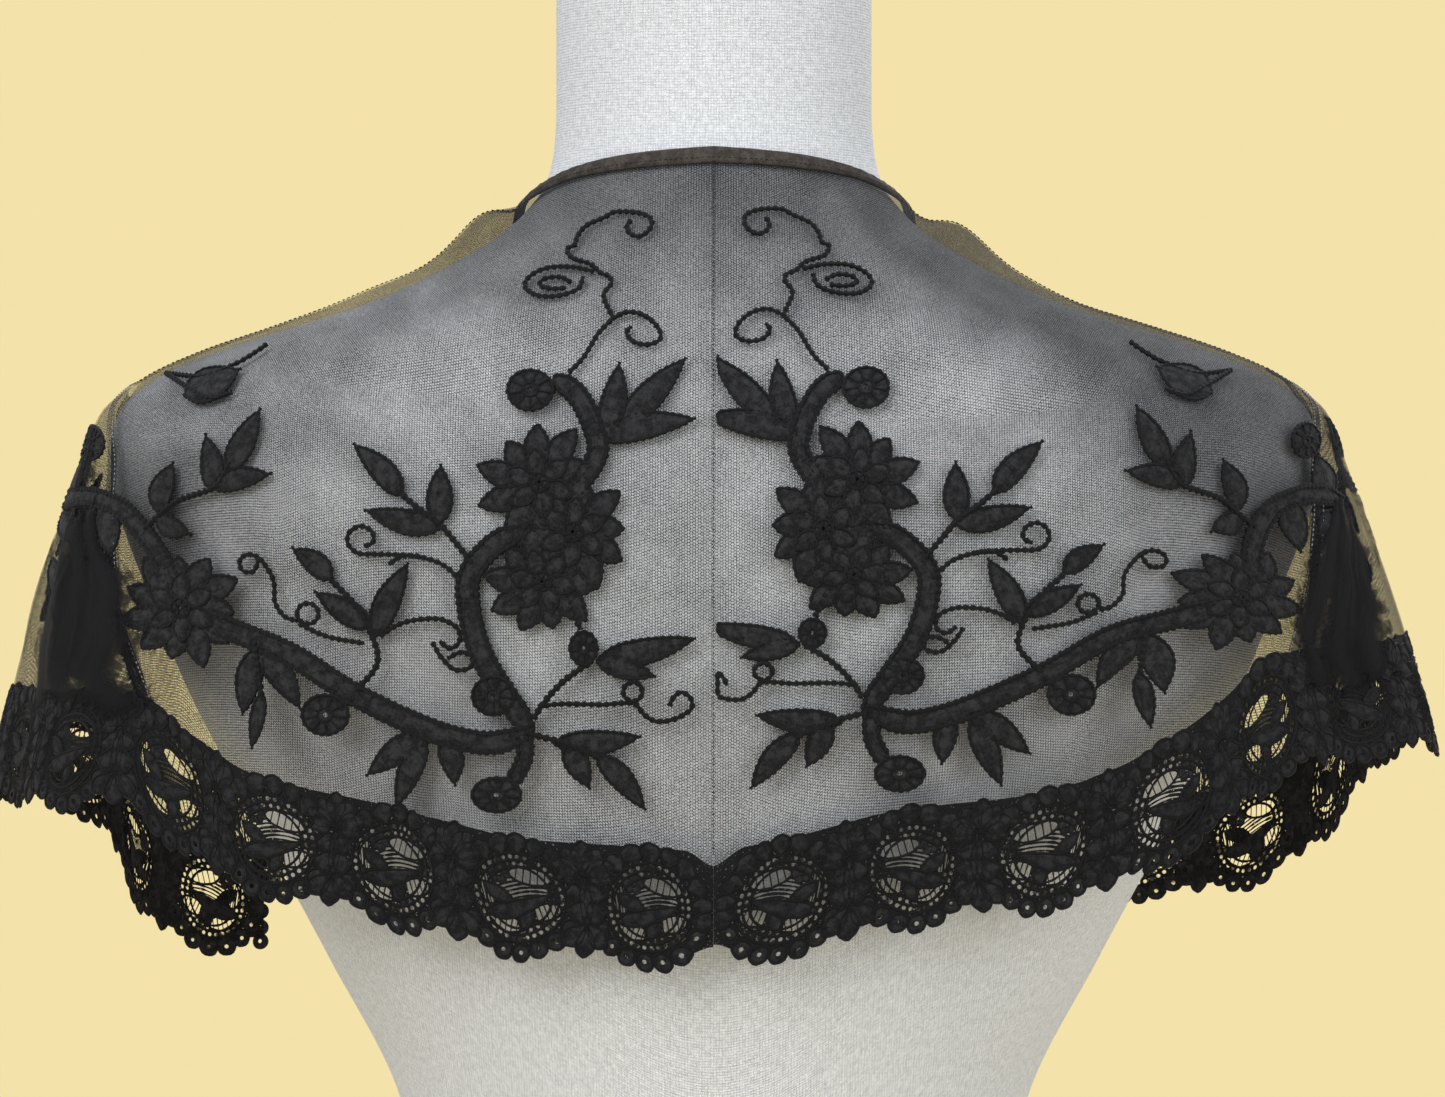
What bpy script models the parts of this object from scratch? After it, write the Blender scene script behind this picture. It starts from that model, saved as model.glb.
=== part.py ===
# Short net shoulder cape with a scalloped lace edge, worn by a limbless dress form.
# Millimetres in the tables, heights measured from the nape of the neck, metres in the meshes.
# The wearer faces +Y, so the back of the cape faces -Y. The origin is the middle of the form's flat underside.

import math

import bmesh
import bpy
import numpy as np
from mathutils import Vector
from mathutils.geometry import delaunay_2d_cdt

for old in list(bpy.data.objects):
    bpy.data.objects.remove(old, do_unlink=True)

mm = 0.001
nape_height = 500.0

# Cloth thicknesses and clearances
form_clearance = 1.3
net_wall = 1.0
seam_gap = 0.3
applique_gap = 0.7
applique_wall = 0.9
binding_rise = 0.7

# Lace edging
lace_depth = 38.0
lace_repeat = 40.0

# Viewing distance that the applique layout was measured from
view_distance = 1500.0
eye_height = -126.9
eye_above_nape_line = 132.0


# Dress form: height, half width, depth to the back, depth to the front, roundness of the section
form_sections = [
    (70, 45, 43, 53, 2.0),
    (68, 50, 48, 58, 2.0),
    (63, 52, 50, 60, 2.0),
    (40, 52, 50, 59, 2.0),
    (16, 52, 52, 58, 2.0),
    (2, 53, 56, 58, 2.0),
    (-8, 56, 61, 60, 2.0),
    (-15, 61, 65, 63, 2.0),
    (-22, 68, 69, 66, 2.0),
    (-30, 80, 74, 69, 2.0),
    (-40, 99, 79, 73, 2.0),
    (-48, 118, 83, 77, 2.0),
    (-56, 144, 87, 80, 2.0),
    (-64, 168, 90, 84, 2.05),
    (-72, 185, 93, 87, 2.1),
    (-80, 194, 96, 91, 2.2),
    (-91, 198, 99, 95, 2.3),
    (-105, 198, 102, 100, 2.35),
    (-122, 193, 105, 106, 2.4),
    (-145, 184, 107, 114, 2.4),
    (-172, 173, 108, 123, 2.35),
    (-205, 156, 105, 130, 2.3),
    (-230, 143, 101, 129, 2.25),
    (-260, 127, 93, 118, 2.2),
    (-308, 103, 82, 97, 2.1),
    (-360, 92, 75, 82, 2.0),
    (-405, 97, 80, 85, 2.0),
    (-450, 116, 93, 95, 2.1),
    (-493, 132, 103, 101, 2.2),
    (-498, 131, 102, 100, 2.2),
    (-500, 128, 99, 97, 2.2),
]

# Heights of the extra rings that round the form's waist and hips
waist_rings = [-284, -334, -382, -428, -472]

# Bell of the cape where it leaves the form: height, half width, depth to the back, depth to the front
bell_sections = [
    (0, 30, 30, 30),
    (-60, 140, 70, 60),
    (-74, 184, 84, 78),
    (-83, 199, 92, 88),
    (-100, 206, 98, 98),
    (-116, 212, 102, 106),
    (-149, 222, 106, 119),
    (-175, 228, 108, 128),
    (-195, 232, 108, 133),
    (-215, 234, 107, 135),
    (-240, 235, 106, 136),
    (-290, 236, 105, 137),
]

# Front edge, which leaves the fronts hanging open: height, distance from the middle on the left and right
front_edge = [(-20, 52, 52), (-35, 57, 56), (-60, 66, 63), (-100, 86, 80), (-150, 114, 102), (-200, 143, 124),
              (-240, 161, 138)]

# Neck edge: angle from the side towards the front, height
neck_edge = [(-90, 0), (-60, -2), (-40, -4.5), (-20, -8.5), (0, -13.5), (20, -20), (45, -32), (70, -44), (90, -50)]

# Lower edge of the net: angle, height, on the wearer's left and right
hem_edge = {
    -1: [(-90, -220), (-84, -218), (-76, -216), (-69, -210), (-62, -204), (-52, -196), (-45, -184), (-38, -173),
         (0, -173), (16, -176), (23, -182), (33, -217), (42, -230), (50, -234), (90, -236)],
    1: [(-90, -220), (-84, -215), (-76, -207), (-66, -203), (-59, -197), (-54, -188), (-46, -173), (-38, -160),
        (0, -156), (12, -162), (24, -178), (34, -200), (42, -212), (52, -214), (90, -218)],
}

# Armhole seam: height, angle from the side towards the back; the front runs closer to the side
front_armhole_share = 0.75
armhole = [(-73.5, 0.8), (-76, 7), (-80, 12), (-88, 18), (-100, 22), (-116, 25), (-143, 31), (-165, 37), (-182, 41)]

# Rows down the cape, as shares of the way from the neck edge to the hem
net_rows = [0.0195, 0.06, 0.105, 0.155, 0.205, 0.255, 0.305, 0.352, 0.395, 0.44, 0.49, 0.56, 0.66, 0.77, 0.885, 1.0]
first_sleeve_row = 8
binding_rows = [0.0, 0.009, 0.018]

# Flutes of the loose cloth: side, angle, angular width, height where it starts, height where it is full, outward
flutes = [
    (-1, -66, 2.5, -170, -215, -2.2),
    (-1, -55, 6, -140, -215, 3.0),
    (-1, -33, 7, -110, -200, 4.0),
    (-1, -12, 7, -110, -200, -4.5),
    (-1, 6, 8, -100, -200, 4.0),
    (-1, 27, 7, -110, -210, -5.0),
    (-1, 43, 8, -110, -220, 5.0),
    (-1, 61, 7, -130, -230, -3.0),
    (-1, 76, 7, -140, -230, 3.0),
    (1, -60, 2.5, -150, -200, -2.4),
    (1, -50, 6, -130, -200, 3.5),
    (1, -29, 7, -110, -190, -3.5),
    (1, -10, 8, -100, -190, 4.0),
    (1, 12, 7, -110, -200, -4.0),
    (1, 33, 8, -110, -210, 5.0),
    (1, 52, 7, -120, -220, -4.0),
    (1, 69, 8, -140, -230, 3.5),
]

# Loose cloth standing up over the shoulders: side, angle, angular width, height, spread of height, rise
shoulder_folds = [
    (-1, 8, 26, -24, 8, 9.0),
    (-1, 14, 20, -46, 7, 3.5),
    (1, 6, 20, -29, 7, 7.0),
    (1, 16, 14, -41, 5, 3.0),
]


def smooth_lookup(rows, at, column):
    """Cubic curve through a table's column, with slopes from the neighbouring rows."""
    xs = [row[0] for row in rows]
    ys = [row[column] for row in rows]
    if xs[0] > xs[-1]:
        xs.reverse()
        ys.reverse()
    if at <= xs[0]:
        return ys[0]
    if at >= xs[-1]:
        return ys[-1]
    low = 0
    while xs[low + 1] < at:
        low += 1
    gap = xs[low + 1] - xs[low]
    rise = (ys[low + 1] - ys[low]) / gap
    before = (ys[low] - ys[low - 1]) / (xs[low] - xs[low - 1]) if low else rise
    after = (ys[low + 2] - ys[low + 1]) / (xs[low + 2] - xs[low + 1]) if low + 2 < len(xs) else rise
    start = 0.0 if before * rise <= 0 else 2 * before * rise / (before + rise)
    end = 0.0 if after * rise <= 0 else 2 * after * rise / (after + rise)
    share = (at - xs[low]) / gap
    square = share * share
    cube = square * share
    return (
        (2 * cube - 3 * square + 1) * ys[low]
        + (cube - 2 * square + share) * gap * start
        + (3 * square - 2 * cube) * ys[low + 1]
        + (cube - square) * gap * end
    )


def ease(low, high, at):
    """0 before low, 1 past high, smooth between; low may be above high."""
    share = min(1.0, max(0.0, (at - low) / (high - low)))
    return share * share * (3 - 2 * share)


def section_radius(half_width, depth, roundness, direction):
    """Distance from the axis to a rounded section's outline."""
    across = abs(math.cos(direction)) / half_width
    along = abs(math.sin(direction)) / depth
    return (across**roundness + along**roundness) ** (-1 / roundness)


section_cache = {}


def sections_at(height):
    """Sizes of the form's and the bell's sections at a height."""
    key = round(height, 4)
    if key not in section_cache:
        form = [smooth_lookup(form_sections, height, column) for column in (1, 2, 3, 4)]
        bell = [smooth_lookup(bell_sections, height, column) for column in (1, 2, 3)]
        section_cache[key] = (form, bell)
    return section_cache[key]


def cape_position(side, angle, height):
    """Point of the cape's inner face before its clearance; angle -90 is the centre back, 90 the centre front."""
    form, bell = sections_at(height)
    depth = 1 if angle < 0 else 2
    turn = math.radians(angle)
    widest = max(form[0], bell[0])
    deepest = max(form[depth], bell[depth])
    direction = math.atan2(deepest * math.sin(turn), widest * math.cos(turn))
    over_form = section_radius(form[0], form[depth], form[3], direction)
    over_bell = section_radius(bell[0], bell[depth], 2.0, direction)
    for fold_side, centre, width, start, full, outward in flutes:
        if fold_side == side:
            over_bell += outward * math.exp(-(((angle - centre) / width) ** 2)) * ease(start, full, height)
    difference = over_form - over_bell
    radius = 0.5 * (over_form + over_bell + math.sqrt(difference * difference + 16.0))
    lift = 0.0
    for fold_side, centre, width, middle, spread, rise in shoulder_folds:
        if fold_side == side:
            across = math.exp(-(((angle - centre) / width) ** 2))
            lift += rise * across * math.exp(-(((height - middle) / spread) ** 2))
    return Vector((side * radius * math.cos(direction), radius * math.sin(direction), height + lift))


def cape_point(side, angle, height, out):
    """Point at a distance outside the cape's inner face."""
    step = 0.5
    around = cape_position(side, angle + step, height) - cape_position(side, angle - step, height)
    up = cape_position(side, angle, height + step) - cape_position(side, angle, height - step)
    normal = around.cross(up) * side
    normal.normalize()
    return cape_position(side, angle, height) + normal * out


def move_round(side, angle, height, distance):
    """The angle that lies a distance further round the cape at the same height."""
    step = 0.5
    around = cape_position(side, angle + step, height) - cape_position(side, angle - step, height)
    return angle + distance * 2 * step / around.length


def height_at(side, angle, share):
    """Height of a share of the way from the neck edge to the hem."""
    top = smooth_lookup(neck_edge, angle, 1)
    return top + share * (smooth_lookup(hem_edge[side], angle, 1) - top)


def cloth_material(name, colour, roughness):
    material = bpy.data.materials.new(name)
    material.use_nodes = True
    shader = material.node_tree.nodes["Principled BSDF"]
    shader.inputs["Base Color"].default_value = (*colour, 1)
    shader.inputs["Roughness"].default_value = roughness
    shader.inputs["Metallic"].default_value = 0.0
    return material


def to_world(point):
    return Vector((point.x * mm, point.y * mm, (point.z + nape_height) * mm))


def add_solid(name, inside, outside, faces, material):
    """Closed cloth wall from two faces with the same layout, joined round every edge."""
    count = len(inside)
    edge_use = {}
    for face in faces:
        for first, second in zip(face, face[1:] + face[:1]):
            edge_use.setdefault(frozenset((first, second)), []).append((first, second))
    walls = []
    for uses in edge_use.values():
        if len(uses) == 1:
            first, second = uses[0]
            walls.append((second, first, first + count, second + count))
    shell = [tuple(face) for face in faces]
    shell += [tuple(index + count for index in reversed(face)) for face in faces]
    mesh = bpy.data.meshes.new(name)
    mesh.from_pydata([to_world(point) for point in outside + inside], [], shell + walls)
    work = bmesh.new()
    work.from_mesh(mesh)
    bmesh.ops.delete(work, geom=[vert for vert in work.verts if not vert.link_faces], context="VERTS")
    bmesh.ops.triangulate(work, faces=work.faces[:])
    bmesh.ops.recalc_face_normals(work, faces=work.faces[:])
    work.to_mesh(mesh)
    work.free()
    mesh.shade_smooth()
    mesh.set_sharp_from_angle(angle=math.radians(40))
    piece = bpy.data.objects.new(name, mesh)
    piece.data.materials.append(material)
    bpy.context.collection.objects.link(piece)
    return piece


def add_grid(name, columns, material, rise=None):
    """Cloth wall over columns of (side, angle, height), listed anticlockwise from above, each from the top down."""
    rows = len(columns[0])
    inside = []
    outside = []
    for column in columns:
        for row, (side, angle, height) in enumerate(column):
            extra = rise[row] if rise else 0.0
            inside.append(cape_point(side, angle, height, form_clearance))
            outside.append(cape_point(side, angle, height, form_clearance + net_wall + extra))
    faces = []
    for column in range(len(columns) - 1):
        for row in range(rows - 1):
            corner = column * rows + row
            faces.append([corner, corner + 1, corner + rows + 1, corner + rows])
    return add_solid(name, inside, outside, faces, material)


def armhole_angle(side, share, front):
    """Angle of the armhole seam on a row of the cape, found by going back and forth to its height."""
    angle = 0.8
    for _ in range(40):
        height = height_at(side, angle if front else -angle, share)
        wanted = smooth_lookup(armhole, height, 1) * (front_armhole_share if front else 1)
        angle = 0.5 * (angle + wanted)
    return angle


def front_edge_angle(side, share):
    """Angle of the open front edge on a row of the cape."""
    angle = 48.0
    for _ in range(30):
        height = height_at(side, angle, share)
        wanted = smooth_lookup(front_edge, height, 1 if side < 0 else 2)
        spread = abs(cape_position(side, angle, height).x) - wanted
        angle += math.degrees(spread / 250)
    return angle


black_net = cloth_material("black_net", (0.022, 0.022, 0.024), 0.85)
black_band = cloth_material("black_band", (0.03, 0.024, 0.02), 0.85)
black_lace = cloth_material("black_lace", (0.012, 0.012, 0.013), 0.8)
black_applique = cloth_material("black_applique", (0.018, 0.018, 0.02), 0.75)
linen = cloth_material("grey_white_linen", (0.66, 0.67, 0.69), 0.9)


# Dress form
form_columns = 40
form_rings = []
for height in sorted([row[0] for row in form_sections] + waist_rings, reverse=True):
    half_width, back, front, roundness = (smooth_lookup(form_sections, height, column) for column in (1, 2, 3, 4))
    ring = []
    for column in range(form_columns):
        turn = 2 * math.pi * column / form_columns
        depth = front if math.sin(turn) > 0 else back
        direction = math.atan2(depth * math.sin(turn), half_width * math.cos(turn))
        radius = section_radius(half_width, depth, roundness, direction)
        ring.append(Vector((radius * math.cos(direction), radius * math.sin(direction), height)))
    form_rings.append(ring)
form_points = [to_world(point) for ring in form_rings for point in ring]
form_faces = []
for ring in range(len(form_rings) - 1):
    for column in range(form_columns):
        beside = (column + 1) % form_columns
        upper = ring * form_columns
        lower = upper + form_columns
        form_faces.append((upper + column, lower + column, lower + beside, upper + beside))
form_faces.append(tuple(range(form_columns)))
form_faces.append(tuple(reversed(range(len(form_points) - form_columns, len(form_points)))))
form_mesh = bpy.data.meshes.new("dress_form")
form_mesh.from_pydata(form_points, [], form_faces)
form_mesh.shade_smooth()
form_mesh.set_sharp_from_angle(angle=math.radians(50))
form_mesh.materials.append(linen)
bpy.context.collection.objects.link(bpy.data.objects.new("dress_form", form_mesh))


# Net panels of each side
side_names = {-1: "left", 1: "right"}
back_columns = 11
front_columns = 8
sleeve_columns = 8

hem_points = {}

for side, side_name in side_names.items():
    back_grid = []
    front_grid = []
    sleeve_grid = []
    for share_index, share in enumerate(net_rows):
        on_sleeve = share_index >= first_sleeve_row
        back_seam = -armhole_angle(side, share, False) if on_sleeve else 0.0
        front_seam = armhole_angle(side, share, True) if on_sleeve else 0.0
        seam_height = height_at(side, back_seam, share)
        back_end = move_round(side, back_seam, seam_height, -seam_gap / 2)
        back_start = move_round(side, -90, height_at(side, -90, share), seam_gap / 2)
        back_grid.append([
            back_start + (back_end - back_start) * column / back_columns for column in range(back_columns + 1)
        ])
        front_start = move_round(side, front_seam, height_at(side, front_seam, share), seam_gap / 2)
        front_end = front_edge_angle(side, share)
        front_grid.append([
            front_start + (front_end - front_start) * column / front_columns for column in range(front_columns + 1)
        ])
        if on_sleeve:
            sleeve_start = move_round(side, back_seam, seam_height, seam_gap / 2)
            sleeve_end = move_round(side, front_seam, height_at(side, front_seam, share), -seam_gap / 2)
            sleeve_grid.append([
                sleeve_start + (sleeve_end - sleeve_start) * column / sleeve_columns
                for column in range(sleeve_columns + 1)
            ])

    hem_points[side] = back_grid[-1] + sleeve_grid[-1] + front_grid[-1]

    def columns_of(grid, first_row):
        """Columns listed anticlockwise from above, from the angles of each row."""
        columns = []
        for column in range(len(grid[0])):
            points = []
            for row, angles in enumerate(grid):
                angle = angles[column]
                points.append((side, angle, height_at(side, angle, net_rows[row + first_row])))
            columns.append(points)
        return columns if side > 0 else columns[::-1]

    add_grid("back_" + side_name, columns_of(back_grid, 0), black_net)
    add_grid("front_" + side_name, columns_of(front_grid, 0), black_net)
    add_grid("sleeve_" + side_name, columns_of(sleeve_grid, first_sleeve_row), black_net)


# Neck binding, one band from the left front edge round the back to the right front edge
band_columns = 14
band = []
for side in (-1, 1):
    front_end = front_edge_angle(side, 0.009)
    run = [-90 + (front_end + 90) * column / band_columns for column in range(band_columns + 1)]
    if side < 0:
        run = run[:0:-1]
    for angle in run:
        band.append([(side, angle, height_at(side, angle, share)) for share in binding_rows])
add_grid("neck_binding", band, black_band, rise=[0.1, binding_rise, 0.1])


def flat_union(shapes, holes):
    """Triangles of the area that overlapping outlines cover, less the holes, with the outlines' own corners."""
    points = []
    loops = []
    for outline in shapes + holes:
        loops.append(list(range(len(points), len(points) + len(outline))))
        points += [Vector(corner) for corner in outline]
    verts, _, faces, _, _, sources = delaunay_2d_cdt(points, [], loops, 1, 0.02)
    kept = []
    for face, source in zip(faces, sources):
        if source and all(index < len(shapes) for index in source):
            kept.append(list(face))
    return verts, kept


# Lace edging: gaps of one repeat as across, down, half length, half height, tilt
lace_gaps = [
    (-3.5, -6.8, 6.4, 2.6, -8),
    (8.8, -1.6, 2.7, 4.4, 12),
    (-7.6, 4.2, 4.6, 2.6, 20),
    (4.2, 8.0, 5.2, 2.5, -14),
]
lace_middle = 19.5
edge_steps = 6


def gap_outline(centre_across, centre_down, half_length, half_height, tilt):
    """Leaf-shaped gap with six corners."""
    corners = []
    turn = math.radians(tilt)
    for step in range(6):
        angle = math.pi * step / 3
        along = half_length * math.cos(angle)
        down = half_height * 1.12 * math.sin(angle)
        corners.append((
            centre_across + along * math.cos(turn) - down * math.sin(turn),
            centre_down + along * math.sin(turn) + down * math.cos(turn),
        ))
    return corners


for side, side_name in side_names.items():
    hem_heights = [height_at(side, angle, 1.0) for angle in hem_points[side]]
    angles = np.linspace(hem_points[side][0], hem_points[side][-1], 400)
    path = [cape_position(side, angle, height_at(side, angle, 1.0)) for angle in angles]
    lengths = [0.0]
    for first, second in zip(path, path[1:]):
        lengths.append(lengths[-1] + (second - first).length)
    repeats = round(lengths[-1] / lace_repeat)
    pitch = lengths[-1] / repeats
    upper_edge = []
    lower_edge = []
    for step in range(repeats * edge_steps + 1):
        along = pitch * step / edge_steps
        bow = abs(math.sin(math.pi * step / edge_steps))
        upper_edge.append((along, 2.2 * (1 - bow**0.8)))
        lower_edge.append((along, lace_depth - 6.0 * (1 - bow**0.7)))
    outline = upper_edge + lower_edge[::-1]
    gaps = []
    for repeat in range(repeats):
        middle = pitch * (repeat + 0.5)
        for across, down, half_length, half_height, tilt in lace_gaps:
            gaps.append([
                (middle + corner[0] * pitch / lace_repeat, lace_middle + corner[1])
                for corner in gap_outline(across, down, half_length, half_height, tilt)
            ])
    flat_points, flat_faces = flat_union([outline], gaps)
    inside = []
    outside = []
    for point in flat_points:
        angle = float(np.interp(point.x, lengths, angles))
        height = float(np.interp(angle, hem_points[side], hem_heights)) - seam_gap - point.y
        inside.append(cape_point(side, angle, height, form_clearance))
        outside.append(cape_point(side, angle, height, form_clearance + net_wall))
    add_solid("lace_" + side_name, inside, outside, flat_faces, black_lace)


# Applique of one back, measured in the view from behind: across from the middle, down from the nape
# Stems: half width, then the points they pass through
stems = [
    (2.9, [(52, 77), (45, 82), (40, 91), (38, 101), (44, 111), (50, 117)]),
    (3.2, [(62, 126), (72, 131), (80, 141), (80, 153), (76, 167), (69, 179), (60, 192)]),
    (3.2, [(60, 192), (72, 196), (86, 194), (103, 187.5), (120, 179), (139, 167), (157, 159.5), (170, 154)]),
    (2.6, [(176, 146), (180, 137), (185, 129), (190, 123), (194, 119)]),
    (1.3, [(79, 137), (84, 131), (90, 124), (97, 119), (103, 114)]),
    (1.3, [(117, 179), (110, 170), (112, 160), (115, 152)]),
    (2.2, [(62, 191), (62, 201), (66, 209)]),
    (1.4, [(60, 193), (49, 196), (37, 201)]),
    (1.3, [(49, 145), (41, 156), (37, 170)]),
    (1.2, [(186, 126), (176, 117), (163, 112), (158, 104)]),
    (1.3, [(118, 181), (123, 186)]),
    (1.3, [(150, 163), (149, 172), (148, 182)]),
]
# Leaves: base, tip, half width
leaves = [
    ((36, 95), (31, 73), 3.4),
    ((31, 93), (10, 71), 3.6),
    ((38, 96), (7, 90), 3.5),
    ((102, 115), (117, 99), 3.2),
    ((90, 124), (89.5, 106), 3.4),
    ((89, 125), (113, 120), 3.2),
    ((114, 154), (136, 133), 3.2),
    ((112, 158), (128, 146), 3.2),
    ((111, 161), (100.5, 138), 3.4),
    ((94, 193), (113, 206), 3.4),
    ((95, 194), (104, 216), 3.4),
    ((88, 195), (85, 209), 3.0),
    ((52, 196), (25, 194), 3.2),
    ((48, 196), (41, 210), 3.2),
    ((38, 200), (23, 217), 3.0),
    ((37, 168), (7, 162), 3.3),
    ((38, 169), (20, 174), 2.8),
    ((149, 165), (136, 184), 3.4),
    ((149, 165), (154, 186), 3.4),
    ((148, 180), (151, 197), 1.8),
    ((182, 120), (177, 105), 3.0),
    ((164, 113), (166, 96), 3.0),
    ((159, 107), (149, 88), 3.2),
    ((164, 112), (146, 108), 2.9),
    ((182, 122), (172, 127), 2.8),
]
# Flowers: middle, tip radius, root radius, petals, first petal's angle
flowers = [
    ((57, 111), 21.0, 11.0, 10, 20),
    ((46, 127), 20.0, 11.0, 10, 5),
    ((56, 143), 19.0, 10.5, 10, 30),
    ((174, 152), 20.5, 11.0, 11, 12),
]
# Discs: middle, half width, half height
discs = [
    ((60, 81), 7.4, 6.4),
    ((72, 180.5), 6.8, 6.2),
    ((71, 213), 8.0, 5.6),
    ((127, 187), 7.6, 6.6),
]


def stem_outline(half_width, route):
    """Even ribbon along a route, rounded at both ends."""
    left = []
    right = []
    for index, point in enumerate(route):
        before = Vector(route[max(0, index - 1)])
        after = Vector(route[min(len(route) - 1, index + 1)])
        along = (after - before).normalized()
        across = Vector((-along.y, along.x)) * half_width
        left.append(tuple(Vector(point) + across))
        right.append(tuple(Vector(point) - across))
    first = Vector(route[0]) - (Vector(route[1]) - Vector(route[0])).normalized() * half_width
    last = Vector(route[-1]) + (Vector(route[-1]) - Vector(route[-2])).normalized() * half_width
    return [tuple(first)] + right + [tuple(last)] + left[::-1]


def leaf_outline(base, tip, half_width):
    """Pointed leaf, fullest nearer its base."""
    base = Vector(base)
    along = Vector(tip) - base
    across = Vector((-along.y, along.x)).normalized() * half_width
    shares = [(0.12, 0.6), (0.4, 1.0), (0.74, 0.62)]
    upper = [tuple(base + along * share + across * width) for share, width in shares]
    lower = [tuple(base + along * share - across * width) for share, width in reversed(shares)]
    return [tuple(base)] + upper + [tuple(Vector(tip))] + lower


def flower_outline(middle, tip_radius, root_radius, petals, first_angle):
    """Star of pointed petals."""
    corners = []
    for petal in range(petals):
        uneven = 1 - 0.09 * (petal % 3)
        for offset, radius in ((0, tip_radius * uneven), (0.5, root_radius)):
            turn = math.radians(first_angle + 360 * (petal + offset) / petals)
            corners.append((middle[0] + radius * math.cos(turn), middle[1] + radius * math.sin(turn)))
    return corners


def disc_outline(middle, half_width, half_height, corners=9):
    """Round or oval disc."""
    points = []
    for corner in range(corners):
        turn = 2 * math.pi * corner / corners
        points.append((middle[0] + half_width * math.cos(turn), middle[1] + half_height * math.sin(turn)))
    return points


def seen_on_back(side, across, down):
    """Angle and height on the cape of a point measured in the view from behind."""
    depth = -90.0
    for _ in range(6):
        nearer = (view_distance + depth) / view_distance
        height = eye_height + (eye_above_nape_line - down) * nearer
        angles = np.linspace(-90, -4, 44)
        reach = [abs(cape_position(side, angle, height).x) for angle in angles]
        angle = float(np.interp(across * nearer, reach, angles))
        depth = cape_position(side, angle, height).y
    return angle, height


def side_drift(side, across, down):
    """The right side's embroidery lies nearer the middle, and higher towards the hem, than the left side's."""
    if side < 0:
        return across, down
    nearer = 10 - 8 * ease(140, 170, across) * ease(120, 145, down)
    higher = 1 + 6 * ease(125, 190, down)
    return max(1.4, across - nearer), down - higher


for side, side_name in side_names.items():
    shapes = [stem_outline(half_width, route) for half_width, route in stems]
    shapes += [leaf_outline(*leaf) for leaf in leaves]
    shapes += [flower_outline(*flower) for flower in flowers]
    shapes += [disc_outline(flower[0], 6.0, 6.0, 7) for flower in flowers]
    shapes += [disc_outline(*disc) for disc in discs]
    flat_points, flat_faces = flat_union(shapes, [])
    inside = []
    outside = []
    for point in flat_points:
        angle, height = seen_on_back(side, *side_drift(side, point.x, point.y))
        below = form_clearance + net_wall + applique_gap
        inside.append(cape_point(side, angle, height, below))
        outside.append(cape_point(side, angle, height, below + applique_wall))
    add_solid("applique_" + side_name, inside, outside, flat_faces, black_applique)
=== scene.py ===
# Short black net shoulder cape with corded applique and a scalloped lace edge, on a limbless dress form.
# Tables hold millimetres, with heights from the nape of the neck; the meshes are in metres.
# The wearer faces +Y, so the back of the cape faces -Y.

import math

import bmesh
import bpy
import numpy as np
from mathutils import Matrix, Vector
from mathutils.geometry import delaunay_2d_cdt


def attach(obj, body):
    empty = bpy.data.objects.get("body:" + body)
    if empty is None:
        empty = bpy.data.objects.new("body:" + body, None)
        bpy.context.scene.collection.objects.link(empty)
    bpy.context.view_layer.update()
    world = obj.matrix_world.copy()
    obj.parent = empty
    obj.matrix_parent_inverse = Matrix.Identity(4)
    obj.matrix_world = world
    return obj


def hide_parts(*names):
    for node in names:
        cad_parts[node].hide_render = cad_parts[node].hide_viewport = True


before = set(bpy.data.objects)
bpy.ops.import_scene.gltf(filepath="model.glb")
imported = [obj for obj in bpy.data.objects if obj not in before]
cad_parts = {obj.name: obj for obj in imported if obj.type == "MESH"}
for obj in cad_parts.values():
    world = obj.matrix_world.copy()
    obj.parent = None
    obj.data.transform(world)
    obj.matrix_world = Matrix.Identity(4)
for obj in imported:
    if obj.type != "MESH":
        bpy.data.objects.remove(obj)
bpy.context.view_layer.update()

mm = 0.001
napeHeight = 500.0
sides = {-1: "Left", 1: "Right"}

# Heights of the layers above the cape's inner face
layers = {
    "netInner": 1.6,
    "netOuter": 2.0,
    "laceInner": 2.1,
    "laceOuter": 2.45,
    "padUnder": 1.9,
    "seamGap": 0.3,
}

# Dress form: height, half width, depth to the back, depth to the front, roundness of the section
formSections = [
    (70, 45, 43, 53, 2.0),
    (68, 50, 48, 58, 2.0),
    (63, 52, 50, 60, 2.0),
    (40, 52, 50, 59, 2.0),
    (16, 52, 52, 58, 2.0),
    (2, 53, 56, 58, 2.0),
    (-8, 56, 61, 60, 2.0),
    (-15, 61, 65, 63, 2.0),
    (-22, 68, 69, 66, 2.0),
    (-30, 80, 74, 69, 2.0),
    (-40, 99, 79, 73, 2.0),
    (-48, 118, 83, 77, 2.0),
    (-56, 144, 87, 80, 2.0),
    (-64, 168, 90, 84, 2.05),
    (-72, 185, 93, 87, 2.1),
    (-80, 194, 96, 91, 2.2),
    (-91, 198, 99, 95, 2.3),
    (-105, 198, 102, 100, 2.35),
    (-122, 193, 105, 106, 2.4),
    (-145, 184, 107, 114, 2.4),
    (-172, 173, 108, 123, 2.35),
    (-205, 156, 105, 130, 2.3),
    (-230, 143, 101, 129, 2.25),
    (-260, 127, 93, 118, 2.2),
    (-308, 103, 82, 97, 2.1),
    (-360, 92, 75, 82, 2.0),
    (-405, 97, 80, 85, 2.0),
    (-450, 116, 93, 95, 2.1),
    (-493, 132, 103, 101, 2.2),
    (-498, 131, 102, 100, 2.2),
    (-500, 128, 99, 97, 2.2),
]

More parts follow.
